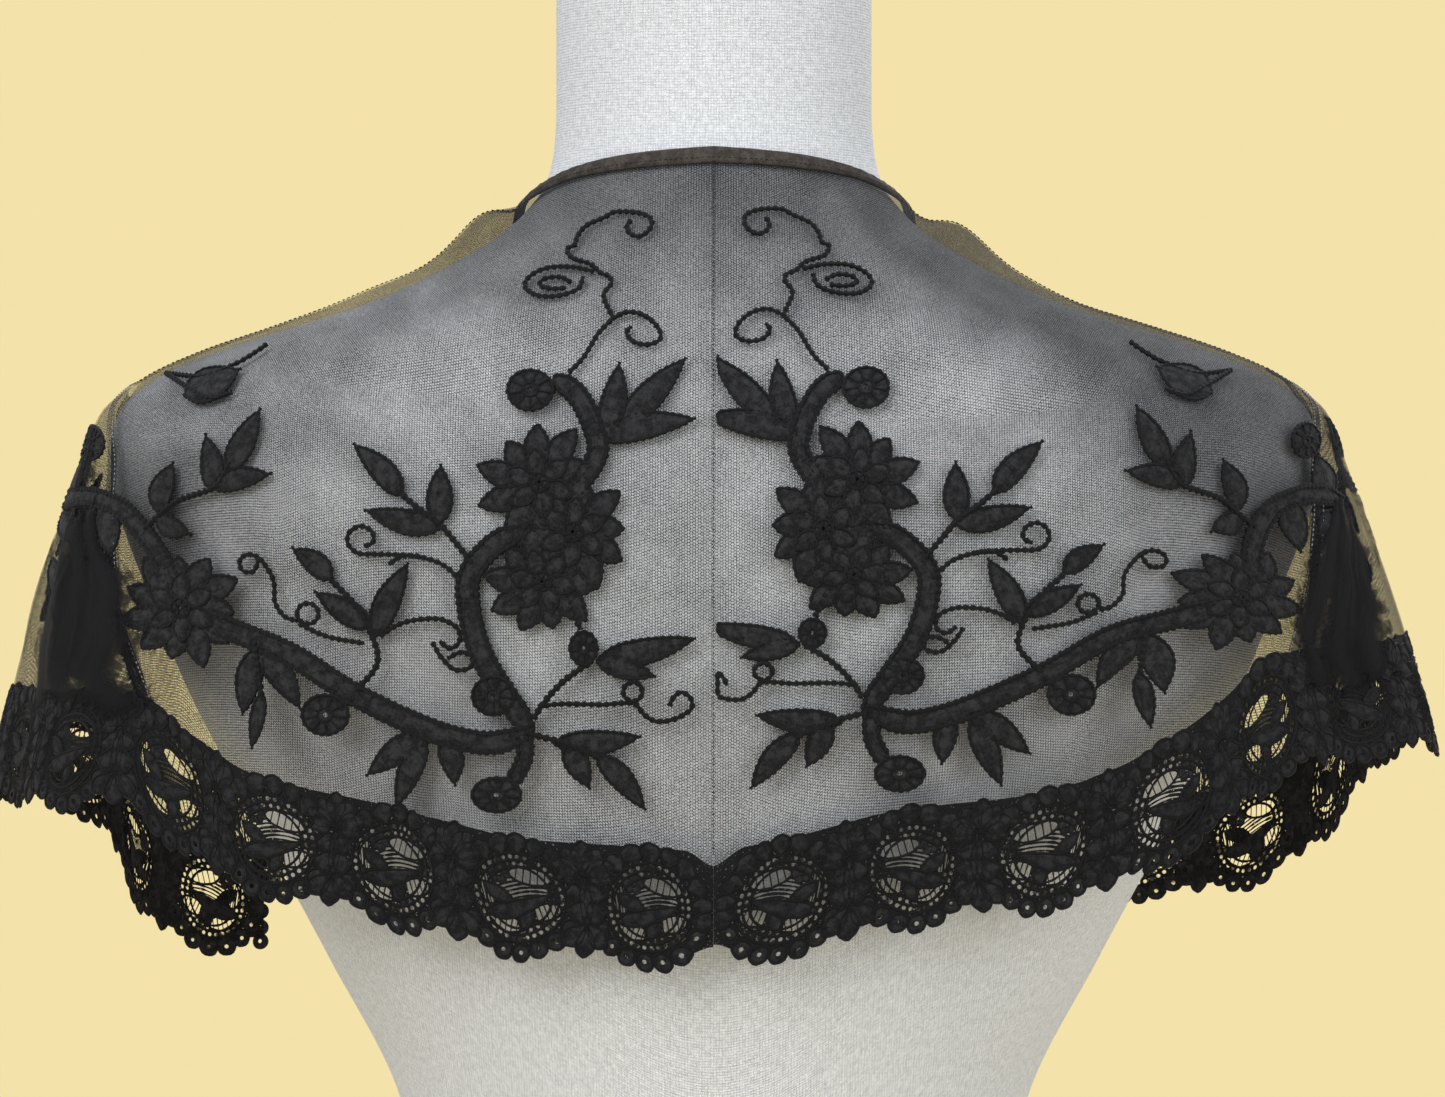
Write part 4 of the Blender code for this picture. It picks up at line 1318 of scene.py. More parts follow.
def addDisc(work, middle, halfWidth, halfHeight, rise=0.5, under=0.0, spokes=9, cord="leaf", hole=0.12):
    # a round pad with a corded rim and short spokes
    rings = 5
    columns = 24
    top = np.zeros((rings, columns, 3))
    for ring in range(rings):
        share = 1 - (1 - hole) * ring / (rings - 1)
        top[ring, :, :2] = ringPoints(middle, halfWidth * share, halfHeight * share, columns)
        top[ring, :, 2] = under + 0.35 + rise * (1 - share**2)
    bottom = top.copy()
    bottom[..., 2] = under
    work.addGrid(top, bottom, top[..., :2], closedRound=True)
    if cord:
        work.addPath(ringPoints(middle, halfWidth, halfHeight, 32), True, under + 0.4, cord)
    for spoke in range(spokes):
        angle = 2 * math.pi * (spoke + 0.3) / spokes
        reach = np.array((halfWidth * math.cos(angle), halfHeight * math.sin(angle)))
        spokeEnds = [np.array(middle) + reach * share for share in (0.4, 0.9)]
        work.addPath(spokeEnds, False, under + 0.75, "fine")
    if spokes:
        work.addPath(ringPoints(middle, halfWidth * 0.34, halfHeight * 0.34, 14), True, under + 0.8, "fine")


# Applique of one back, measured in the view from behind: across from the middle, down from the nape
# Stems: half width, then the points that they pass through
stems = [
    (2.9, [(52, 77), (45, 82), (40, 91), (38, 101), (44, 111), (50, 117)]),
    (3.2, [(62, 126), (72, 131), (80, 141), (80, 153), (76, 167), (69, 179), (60, 192)]),
    (3.2, [(60, 192), (72, 196), (86, 194), (103, 187.5), (120, 179), (139, 167), (157, 159.5),
           (170, 154)]),
    (2.6, [(176, 146), (180, 137), (185, 129), (190, 123), (194, 119), (202, 116), (209, 116), (215, 118)]),
    (2.2, [(62, 191), (62, 201), (66, 209)]),
]
# Twigs: thin cords that carry leaves
twigs = [
    [(79, 137), (84, 131), (90, 124), (97, 119), (103, 114)],
    [(117, 179), (110, 170), (112, 160), (117, 151), (125, 142.5)],
    [(60, 193), (49, 196), (37, 201)],
    [(49, 145), (46, 152), (43.5, 159)],
    [(186, 126), (176, 117), (163, 112), (158, 104)],
    [(118, 181), (123, 186)],
    [(150, 163), (149, 172), (148, 182)],
    [(59, 188), (54, 181), (48, 175), (40, 169.5)],
]
# Leaves: base, tip, half width
leaves = [
    ((36, 95), (31, 73), 3.4),
    ((31, 93), (10, 71), 3.6),
    ((38, 96), (7, 90), 3.5),
    ((102, 115), (117, 99), 3.2),
    ((90, 124), (89.5, 106), 3.4),
    ((89, 125), (113, 120), 3.2),
    ((125, 142), (137, 132.5), 2.9),
    ((112, 158), (129.5, 147), 3.2),
    ((111, 161), (100.5, 138), 3.4),
    ((94, 193), (113, 206), 3.4),
    ((95, 194), (104, 216), 3.4),
    ((88, 195), (85, 209), 3.0),
    ((52, 196), (25, 194), 3.2),
    ((48, 196), (41, 210), 3.2),
    ((38, 200), (23, 217), 3.0),
    ((37, 168), (7, 162), 3.3),
    ((38, 169), (20, 174), 2.8),
    ((149, 165), (136, 184), 3.4),
    ((149, 165), (154, 186), 3.4),
    ((148, 180), (151, 197), 1.8),
    ((182, 120), (177, 105), 3.0),
    ((164, 113), (166, 96), 3.0),
    ((159, 107), (149, 88), 3.2),
    ((164, 112), (146, 108), 2.9),
    ((182, 122), (172, 127), 2.8),
    ((173, 83), (156, 75), 4.2),
    ((210, 118), (207, 103), 3.2),
    ((213, 121), (206, 131), 3.0),
    ((200, 118), (197, 134), 3.6),
    ((216, 136), (213, 158), 2.6),
]
# Flowers: middle, tip radius, root radius, petals, first petal's angle
flowers = [
    ((57, 111), 21.0, 11.0, 10, 20),
    ((46, 127), 20.0, 11.0, 10, 5),
    ((56, 143), 19.0, 10.5, 10, 30),
    ((174, 152), 20.5, 11.0, 11, 12),
]
# Discs: middle, half width, half height
discs = [
    ((60, 81), 7.4, 6.4),
    ((72, 180.5), 6.8, 6.2),
    ((71, 213), 8.0, 5.6),
    ((127, 187), 7.6, 6.6),
    ((42.5, 165), 4.4, 5.4),
    ((203, 98), 4.4, 5.4),
]
# Tendrils: thin cords with curled ends
tendrils = [
    [(47.5, 75), (42.6, 70), (37.6, 62), (32.5, 57)],
    [(33.5, 57.5), (28, 55.2), (22, 56.5), (17.8, 60.5), (17.6, 64), (21.5, 65.6), (26, 64.8),
     (28.5, 62), (27, 59.8)],
    [(32.5, 57.5), (35.6, 51.2), (35.3, 48.5), (33.2, 46), (33.8, 43.6), (36.6, 42.6), (39.9, 39.6),
     (45.9, 37.6),
     (47.4, 34.7), (44.9, 33.4), (43.9, 30.4), (40.9, 27), (35.3, 24.4), (31.7, 22.4), (24.4, 22.6),
     (20.2, 24.6),
     (20.4, 28), (23.6, 30.4), (26.6, 29.8), (28, 27.5), (26.7, 25.2)],
    [(39, 42), (46, 40.6), (54, 41), (60, 44), (61.4, 47.6), (57, 50.2), (50, 50), (44, 47.6), (42.4, 44)],
    [(46.5, 45.6), (50, 44), (55, 44.6), (56.6, 46.8), (52.5, 47.8), (48, 47.4)],
    [(82.8, 143.2), (88, 138), (95.7, 135), (104, 134.2), (110.8, 134), (116.6, 133.6), (119.8, 130.4),
     (119.2, 126.6),
     (115.6, 124.8), (112, 126.6), (111.6, 130), (114.4, 131.4)],
    [(96, 135), (102, 134.6), (106.4, 137.4)],
    [(148.6, 135.2), (150.6, 139.6), (154.2, 139.4), (155, 136), (152.6, 134), (149, 135),
     (145.5, 139.5), (143.8, 144),
     (143.6, 150), (140.5, 154.6), (136.4, 156)],
    [(135.6, 157), (127, 161), (114.5, 163.4)],
    [(109, 161), (104, 157.6), (98.7, 155.8), (92, 155.2), (88, 155.8), (83.6, 158.6), (83.2, 163),
     (86.4, 165),
     (89.6, 162.6)],
    [(92, 163), (89, 168), (84.6, 172), (79.6, 171.2), (79.2, 167.6), (83, 166.4), (87, 168.4)],
    [(57.5, 184.2), (50, 183.2), (36.3, 183.4), (26.4, 183), (22.8, 186.6), (18.8, 188.8),
     (12.9, 188.2), (7.4, 185),
     (7.4, 181.4), (10.6, 179.4), (13.2, 181.2), (14.4, 184)],
    [(146.5, 66.7), (152, 70.4), (157.4, 73.3), (167.3, 76.9), (179.5, 76)],
    [(179.5, 76), (172, 80.6), (165, 83.6), (158, 82)],
]
# Rings: middle, half width, half height
rings = [
    ((132.8, 153.6), 3.5, 3.5),
    ((26.4, 179.2), 3.1, 3.1),
]
vine = {
    "cordRadius": {"stem": 0.85, "leaf": 0.58, "tendril": 0.8, "twig": 1.0, "fine": 0.4},
    "stitch": 2.3,
    "swell": 0.32,
    "step": 0.6,
    "sides": 5,
    "innerPetals": 6,
    "fuller": 1.16,
}


def addFlower(work, middle, tipRadius, rootRadius, petals, firstAngle):
    middle = np.array(middle, float)
    for petal in range(petals):
        uneven = 1 - 0.09 * (petal % 3)
        turn = math.radians(firstAngle + 360 * petal / petals)
        way = np.array((math.cos(turn), math.sin(turn)))
        tip = middle + way * tipRadius * uneven
        addLeaf(work, middle + way * 3.0, tip, 4.0, 0.8, 0.12 * (petal % 2), "leaf", 0.6, 0.5)
    for petal in range(vine["innerPetals"]):
        turn = math.radians(firstAngle + 18 + 360 * petal / vine["innerPetals"])
        way = np.array((math.cos(turn), math.sin(turn)))
        addLeaf(work, middle + way * 2.0, middle + way * rootRadius * 1.02, 2.8, 0.6, 0.75, "leaf", 0.3, 0.5)
    addDisc(work, middle, 3.0, 3.0, 0.5, 1.15, 6, "leaf", 0.2)


def drawVine():
    work = flatWork()
    for halfWidth, route in stems:
        addRibbon(work, route, halfWidth)
    for index, (base, tip, halfWidth) in enumerate(leaves):
        addLeaf(work, base, tip, halfWidth * vine["fuller"], 0.8, bend=0.9 * (index % 3 - 1))
        way = np.array(tip, float) - base
        way /= np.linalg.norm(way)
        work.addPath([np.array(tip) - way * 1.2, np.array(tip) + way * 1.4], False, 0.4, "leaf")
    for flower in flowers:
        addFlower(work, *flower)
    for middle, halfWidth, halfHeight in discs:
        addDisc(work, middle, halfWidth, halfHeight, 0.4, 0.55)
    for route in twigs:
        work.addPath(smoothRoute(route), False, 0.5, "twig")
    for route in tendrils:
        work.addPath(smoothRoute(route), False, 0.4, "tendril")
    for middle, halfWidth, halfHeight in rings:
        work.addPath(ringPoints(middle, halfWidth, halfHeight, 20), True, 0.4, "tendril")
    return work


# Motifs on the sleeves' front halves: measured round from the side line to the front, down from the nape
sleeveStems = {
    -1: [(2.2, [(6, 116), (16, 112), (28, 114), (40, 121), (54, 124), (66, 118), (76, 108)])],
    1: [(2.2, [(6, 108), (16, 104), (30, 107), (42, 114), (54, 116), (66, 110), (76, 101)])],
}
sleeveLeaves = {
    -1: [((18, 113), (14, 98), 3.6), ((28, 115), (22, 130), 3.6), ((34, 118), (40, 103), 3.4),
         ((58, 123), (66, 136), 3.6),
         ((68, 115), (62, 102), 3.2), ((76, 108), (88, 98), 3.4), ((76, 109), (92, 110), 3.2)],
    1: [((18, 105), (14, 91), 3.6), ((30, 108), (24, 122), 3.6), ((36, 111), (42, 96), 3.4), ((58, 115),
        (66, 128), 3.6),
        ((68, 107), (62, 94), 3.2), ((76, 101), (88, 91), 3.4), ((76, 102), (92, 103), 3.2)],
}
sleeveDiscs = {-1: [((12, 101), 5.4, 5.0)], 1: [((10, 92), 5.6, 5.2)]}
sleeveFlowers = {-1: [((44, 140), 16.0, 8.5, 9, 15)], 1: [((44, 132), 16.0, 8.5, 9, 25)]}


def drawSleeve(side):
    work = flatWork()
    for halfWidth, route in sleeveStems[side]:
        addRibbon(work, route, halfWidth)
    for base, tip, halfWidth in sleeveLeaves[side]:
        addLeaf(work, base, tip, halfWidth, 0.8)
    for flower in sleeveFlowers[side]:
        addFlower(work, *flower)
    for middle, halfWidth, halfHeight in sleeveDiscs[side]:
        addDisc(work, middle, halfWidth, halfHeight, 0.4, 0.55)
    return work


# The view from behind: how it was measured
behind = {
    "distance": 1500.0,
    "eyeHeight": -126.9,
    "eyeAboveNape": 132.0,
    "spacing": 2.0,
    "across": 218.0,
    "down": 236.0,
}


def sideDrift(side, across, down):
    # the right side's work lies nearer the middle, and higher towards the hem, than the left side's
    if side < 0:
        return across, down
    nearer = 10 - 8 * ease(140, 170, across) * ease(120, 145, down)
    higher = 1 + 6 * ease(125, 190, down)
    return np.maximum(1.4, across - nearer), down - higher


def backTable(side):
    # cape angle and height for each point of an even grid in the view from behind
    acrossSteps = np.arange(0, behind["across"] + 1, behind["spacing"])
    downSteps = np.arange(0, behind["down"] + 1, behind["spacing"])
    across, down = np.meshgrid(acrossSteps, downSteps, indexing="ij")
    across, down = sideDrift(side, across, down)
    depth = np.full(across.shape, -90.0)
    for _ in range(5):
        nearer = (behind["distance"] + depth) / behind["distance"]
        height = behind["eyeHeight"] + (behind["eyeAboveNape"] - down) * nearer
        low = np.full(across.shape, -90.0)
        high = np.full(across.shape, -4.0)
        for _ in range(14):
            middle = 0.5 * (low + high)
            short = np.abs(capePositions(side, middle, height)[..., 0]) < across * nearer
            low = np.where(short, middle, low)
            high = np.where(short, high, middle)
        angle = 0.5 * (low + high)
        depth = capePositions(side, angle, height)[..., 1]
    return angle, height


def readTable(table, across, down):
    x = np.clip(across / behind["spacing"], 0, table.shape[0] - 1.001)
    y = np.clip(down / behind["spacing"], 0, table.shape[1] - 1.001)
    col = x.astype(int)
    row = y.astype(int)
    fx = x - col
    fy = y - row
    return (table[col, row] * (1 - fx) * (1 - fy) + table[col + 1, row] * fx * (1 - fy)
            + table[col, row + 1] * (1 - fx) * fy + table[col + 1, row + 1] * fx * fy)


def pathMesh(paths, place):
    # one mesh of edges from flat routes, placed on the cape
    points = []
    edges = []
    for route, closed, out, _ in paths:
        start = len(points)
        points += list(place(route[:, 0], route[:, 1], np.full(len(route), out)))
        edges += [(start + index, start + index + 1) for index in range(len(route) - 1)]
        if closed:
            edges.append((start + len(route) - 1, start))
    mesh = bpy.data.meshes.new("paths")
    mesh.from_pydata([tuple(point) for point in points], edges, [])
    return mesh


def joinMeshes(name, meshes):
    # one mesh from several, keeping their materials apart
    work = bmesh.new()
    materials = []
    for mesh in meshes:
        before = len(work.faces)
        work.from_mesh(mesh)
        work.faces.ensure_lookup_table()
        dressed = [material for material in mesh.materials if material][0]
        if dressed not in materials:
            materials.append(dressed)
        slot = materials.index(dressed)
        for face in work.faces[before:]:
            face.material_index = slot
    joined = bpy.data.meshes.new(name)
    work.to_mesh(joined)
    work.free()
    return joined, materials


def makeWorked(name, work, place, reverse, slot, replaced=()):
    flat = np.array(work.points)
    pads = newMesh("pads", place(flat[:, 0], flat[:, 1], flat[:, 2]), work.faces, work.uvs)
    if reverse:
        pads.flip_normals()
    pads.materials.append(leafCloth)
    meshes = [pads]
    for kind, radius in vine["cordRadius"].items():
        chosen = [path for path in work.paths if path[3] == kind]
        if chosen:
            meshes.append(runTree(cordOnPaths, pathMesh(chosen, place), {
                "Radius": radius * mm, "Stitch": vine["stitch"] * mm, "Swell": vine["swell"],
                "Step": vine["step"] * mm, "Sides": vine["sides"], "Material": cordThread,
            }))
    return addPiece(name, *joinMeshes(name, meshes), slot, replaced, sharp=60)


def makeSleeveWork(side):
    def place(forward, down, out):
        return toWorld(capePoints(side, forward / 3.3, -down, layers["padUnder"] + out))

    return makeWorked("sleeveWork" + sides[side], drawSleeve(side), place, side < 0, "applique")


def makeVine(side):
    name = sides[side]
    work = drawVine()
    angleTable, heightTable = backTable(side)

    def place(across, down, out):
        angle = readTable(angleTable, across, down)
        height = readTable(heightTable, across, down)
        return toWorld(capePoints(side, angle, height, layers["padUnder"] + out))

    return makeWorked("vine" + name, work, place, side > 0, "applique", ("applique_" + name.lower(),))


vines = {side: makeVine(side) for side in sides}
sleeveWorks = {side: makeSleeveWork(side) for side in sides}
print("applique ready")


# Open lenses: across, down, half length, half height, tilt
laceGaps = [
    (-3.5, -6.8, 6.4, 2.6, -8),
    (8.8, -1.6, 2.7, 4.4, 12),
    (-7.6, 4.2, 4.6, 2.6, 20),
    (4.2, 8.0, 5.2, 2.5, -14),
]


def gapOutline(across, down, halfLength, halfHeight, tilt):
    return ringPoints((across, down), halfLength, halfHeight * 1.06, 14, math.radians(tilt))


def laceArc(along):
    # how far the ground reaches above and below the medallions' middle
    fromMiddle = (along % lace["repeat"]) - lace["repeat"] / 2
    halfWidth, halfHeight = lace["ground"]
    scallop = 0.5 * np.cos(2 * math.pi * along / 6.4)
    return (halfHeight + scallop) * np.sqrt(np.clip(1 - (fromMiddle / halfWidth) ** 2, 0, 1))


def laceTop(along):
    return np.minimum(lace["middle"] - laceArc(along), lace["jointTop"])


def laceFoot(along):
    return np.maximum(lace["middle"] + laceArc(along), lace["jointFoot"])


def drawGround():
    # the lace's own net, with its lenses cut through, as one repeat from 0 to its width
    repeat = lace["repeat"]
    columns = int(repeat / lace["groundSpacing"]) * 2
    xs = np.linspace(0, repeat, columns + 1)
    upper = [(x, float(laceTop(x))) for x in xs]
    lower = [(x, float(laceFoot(x))) for x in xs[::-1]]
    sideRows = 15
    rise = upper[0][1] - lower[-1][1]
    left = [(0.0, lower[-1][1] + rise * step / sideRows) for step in range(1, sideRows)]
    right = [(repeat, y) for _, y in reversed(left)]
    outline = upper + right + lower + left
    gaps = []
    for gap in laceGaps:
        ring = gapOutline(*gap)
        gaps.append([(repeat / 2 + x, lace["middle"] + y) for x, y in ring])
    points = []
    loops = []
    for loop in [outline] + gaps:
        loops.append(list(range(len(points), len(points) + len(loop))))
        points += [tuple(corner) for corner in loop]
    for x in xs[2:-1:2]:
        top = float(laceTop(x))
        foot = float(laceFoot(x))
        count = int((foot - top) / lace["groundSpacing"])
        for step in range(1, count):
            y = top + (foot - top) * step / count
            if all(min(math.hypot(x - gx, y - gy) for gx, gy in gap) > 0.9 for gap in gaps):
                points.append((x, y))
    corners = [Vector(point) for point in points]
    verts, _, faces, _, _, sources = delaunay_2d_cdt(corners, [], loops, 1, 0.001)
    kept = [tuple(face) for face, source in zip(faces, sources) if source == [0]]
    flat = np.array([(vert.x, -vert.y) for vert in verts])
    used = sorted({index for face in kept for index in face})
    renumber = {old: new for new, old in enumerate(used)}
    flat = flat[used]
    kept = [tuple(renumber[index] for index in face) for face in kept]
    upright = []
    for face in kept:
        a, b, c = flat[face[0]], flat[face[1]], flat[face[2]]
        turn = (b[0] - a[0]) * (c[1] - a[1]) - (b[1] - a[1]) * (c[0] - a[0])
        upright.append(face if turn > 0 else face[::-1])
    return flat, upright


def drawLaceWork():
    # everything raised on one repeat, from 0 to its width, y up
    work = flatWork()
    centre = np.array((lace["repeat"] / 2, -lace["middle"]))

    def onOval(axes, turn):
        return centre + (axes[0] * math.cos(turn), axes[1] * math.sin(turn))

    for petal in range(lace["petals"]):
        turn = math.radians(360 * (petal + 0.5) / lace["petals"])
        inner = onOval(lace["petalInner"], turn)
        outer = onOval(lace["petalOuter"], turn)
        uneven = 0.35 * math.sin(2.3 * petal)
        if math.sin(turn) < -0.25:
            tip = onOval((lace["petalOuter"][0] - 3.0, lace["petalOuter"][1] - 2.9), turn)
            addDisc(work, tip, 3.0, 2.9, 0.4, 0.0, 0, "edge", 0.3)
        else:
            tip = outer + (outer - inner) * 0.06 * uneven
            addLeaf(work, inner, tip, 3.3 + uneven, 0.6, 0.1 * (petal % 2), "edge", 0.0, 0.64)
    for axes in lace["rims"]:
        work.addPath(ringPoints(centre, *axes, 44), True, 0.4, "ring")
    for gap in laceGaps:
        ring = gapOutline(*gap) * (1, -1) + centre
        work.addPath(ring, True, 0.3, "ring")
        across, down, halfLength, halfHeight, tilt = gap
        turn = math.radians(tilt)
        for share in (-0.66, -0.33, 0.0, 0.33, 0.66):
            reach = halfHeight * math.sqrt(1 - share**2) * 1.05
            shift = share * halfLength
            foot = centre + (across + shift * math.cos(turn), -down - shift * math.sin(turn))
            way = np.array((math.sin(turn) * reach, math.cos(turn) * reach))
            work.addPath([foot - way, foot + way], False, 0.2, "hatch")
    addLeaf(work, centre + (10.0, -5.4), centre + (-8.6, 1.2), 2.4, 0.6, 0.05, "ring", 1.2, 0.4)
    addLeaf(work, centre + (9.8, 3.4), centre + (1.6, -1.0), 2.0, 0.5, 0.3, "ring", 0.4, 0.5)
    addLeaf(work, centre + (-0.6, -10.2), centre + (-4.2, -3.6), 1.9, 0.5, 0.0, "ring", -0.4, 0.5)
    flowerAt = centre + (5.6, 6.4)
    for petal in range(5):
        turn = math.radians(72 * petal + 20)
        way = np.array((math.cos(turn), math.sin(turn)))
        addLeaf(work, flowerAt + way * 0.5, flowerAt + way * 3.1, 1.3, 0.4, 0.0, None, 0.0, 0.6)
    return work


def drawLaceFill():
    # the lobed leaves between two medallions
    work = flatWork()
    joint = lace["repeat"]
    for up, turns in ((1, (90, 58, 122, 22, 158)), (-1, (-90, -48, -132))):
        root = np.array((joint, -lace["middle"] + (8.6 if up > 0 else -6.4)))
        for turn in turns:
            reach = 10.6 if abs(turn) == 90 else 9.8
            way = np.array((math.cos(math.radians(turn)), math.sin(math.radians(turn))))
            addLeaf(work, root, root + way * reach, 2.9, 0.5, 0.15, "edge", 0.0, 0.62)
    foot, tip = (joint, -lace["middle"] - 7.4), (joint, -lace["middle"] + 7.4)
    addLeaf(work, foot, tip, 1.9, 0.45, 0.1, "edge", 0.0, 0.5)
    return work


laceCords = {"edge": 0.42, "ring": 0.42, "hatch": 0.22}
laceCord = {"Stitch": 1.6 * mm, "Swell": 0.18, "Step": 1.1 * mm, "Sides": 4, "Material": laceThread}


def bendToHem(side):
    # gives the function that lays flat lace along the hem, and the number and width of its repeats
    start = float(moveRound(side, -90.0, heightAt(side, -90.0, 1.0), 0.03))
    end = float(frontEdgeAngles(side, np.array([1.0]))[0])
    angles = np.linspace(start, end + 2.0, 1200)
    hem = capePositions(side, angles, heightAt(side, angles, 1.0))
    lengths = np.concatenate([[0], np.cumsum(np.linalg.norm(np.diff(hem, axis=0), axis=1))])
    hemLength = float(np.interp(end, angles, lengths))
    repeats = round(hemLength / lace["repeat"])
    pitch = hemLength / repeats

    def place(along, up, out):
        # worked by hand, so no two medallions are quite alike
        free = ease(0, 12, along) * ease(hemLength, hemLength - 12, along)
        drift = side * 1.7
        shift = np.sin(along / 17 + up / 9 + drift) + 0.5 * np.sin(along / 6.1 - up / 6)
        moved = along + free * shift
        lower = np.clip(-up / lace["depth"], 0, 1)
        raised = up + lower * (0.8 * np.sin(along / 13 + drift) + 0.5 * np.sin(along / 4.7 + 2 * drift))
        middle = -lace["middle"]
        raised = middle + (raised - middle) * (1 - 0.22 * ease(9, 0, along))
        angle = np.interp(np.clip(moved, 0, lengths[-1]), lengths, angles)
        height = heightAt(side, angle, 1.0) - layers["seamGap"] + raised
        puff = 0.45 * lower * (1 + np.sin(along / 8.3 + drift))
        return toWorld(capePoints(side, angle, height, out + puff))

    return place, repeats, pitch, hemLength


def bendMesh(mesh, place, pitch, lift, reverse):
    flat = np.empty(len(mesh.vertices) * 3)
    mesh.vertices.foreach_get("co", flat)
    flat = flat.reshape(-1, 3) / mm
    along = flat[:, 0] * pitch / lace["repeat"]
    bent = place(along, flat[:, 1], flat[:, 2] + lift)
    mesh.vertices.foreach_set("co", np.asarray(bent, np.float32).ravel())
    mesh.update()
    if reverse:
        mesh.flip_normals()
    return mesh


# Bunched stretches of the lace: side, start and end as shares of its length, density
bunches = [(-1, 0.40, 0.60, 0.85), (1, 0.38, 0.58, 0.75)]


def bunching(mesh, side, pitch, hemLength):
    flat = np.empty(len(mesh.vertices) * 3)
    mesh.vertices.foreach_get("co", flat)
    share = flat.reshape(-1, 3)[:, 0] / mm * pitch / lace["repeat"] / hemLength
    amount = np.zeros(len(share))
    for bunchSide, start, end, density in bunches:
        if bunchSide == side:
            entering = ease(start - 0.03, start + 0.02, share)
            leaving = ease(end + 0.03, end - 0.02, share)
            amount = np.maximum(amount, density * entering * leaving)
    layer = mesh.attributes.new("closeness", "FLOAT", "POINT")
    layer.data.foreach_set("value", amount.astype(np.float32))


def makeLace(side):
    name = sides[side]
    place, repeats, pitch, hemLength = bendToHem(side)
    flat, faces = drawGround()
    count = len(flat)
    thick = layers["laceOuter"] - layers["laceInner"]
    top = np.concatenate([flat, np.full((count, 1), thick)], axis=1)
    bottom = np.concatenate([flat, np.zeros((count, 1))], axis=1)
    doubled = np.concatenate([flat, flat])
    atSide = np.minimum(np.abs(doubled[:, 0]), np.abs(doubled[:, 0] - lace["repeat"])) < 1e-6
    sidesOff = [face for face in closeShell(faces, count) if len(face) != 4 or not atSide[list(face)].all()]
    uvs = doubled * mm
    repeatMesh = newMesh("groundRepeat", np.concatenate([top, bottom]) * mm, sidesOff, uvs)
    repeated = {"Count": repeats, "Pitch": lace["repeat"] * mm}
    ground = runTree(rowOfRepeats, repeatMesh, dict(repeated, Material=laceNet))
    work = bmesh.new()
    work.from_mesh(ground)
    bmesh.ops.holes_fill(work, edges=[edge for edge in work.edges if edge.is_boundary], sides=0)
    work.to_mesh(ground)
    work.free()
    layer = ground.uv_layers["clothRun"]
    corner = np.empty(len(ground.loops), int)
    ground.loops.foreach_get("vertex_index", corner)
    places = np.empty(len(ground.vertices) * 3)
    ground.vertices.foreach_get("co", places)
    layer.data.foreach_set("uv", places.reshape(-1, 3)[corner, :2].astype(np.float32).ravel())
    bunching(ground, side, pitch, hemLength)
    bendMesh(ground, place, pitch, layers["laceInner"], side < 0)
    sheet = addPiece("laceGround" + name, ground, [laceNet], "lace", ("lace_" + name.lower(),))

    def flatPlace(across, up, out):
        return np.stack([across, up, out], -1) * mm

    meshes = []
    for drawn, count in ((drawLaceWork(), repeats), (drawLaceFill(), repeats - 1)):
        repeated["Count"] = count
        pads = newMesh("pads", np.array(drawn.points) * mm, drawn.faces, drawn.uvs)
        padRow = runTree(rowOfRepeats, pads, dict(repeated, Material=laceCloth))
        meshes.append(bendMesh(padRow, place, pitch, layers["laceInner"] - 0.15, side < 0))
        for kind, radius in laceCords.items():
            chosen = [path for path in drawn.paths if path[3] == kind]
            if not chosen:
                continue
            cords = runTree(cordOnPaths, pathMesh(chosen, flatPlace), dict(laceCord, Radius=radius * mm))
            row = runTree(rowOfRepeats, cords, dict(repeated, Material=laceThread))
            meshes.append(bendMesh(row, place, pitch, layers["laceInner"], side < 0))
    ending = flatWork()
    for down in lace["endDiscs"]:
        addDisc(ending, (repeats * lace["repeat"] - 1.2, -down), 3.1, 3.0, 0.5, 0.1, 0, "edge", 0.25)
    pads = newMesh("pads", np.array(ending.points) * mm, ending.faces, ending.uvs)
    pads.materials.append(laceCloth)
    meshes.append(bendMesh(pads, place, pitch, layers["laceInner"], side < 0))
    worked = addPiece("laceWork" + name, *joinMeshes("laceWork", meshes), "lace", sharp=60)
    return sheet, worked, hemLength


laceSets = {side: makeLace(side) for side in sides}
print("lace ready")


# Neck band, seams, hems and their stitches
band = {
    "shares": (0.0, 0.025),
    "endShare": 0.009,
    "rows": 9,
    "columns": 90,
    "inner": 1.3,
    "edge": 1.9,
    "rise": 0.9,
    "stitchShare": 0.019,
    "stitchPoints": 200,
}
stitches = {"Spacing": 1.7 * mm, "Length": 1.15 * mm, "Radius": 0.2 * mm}


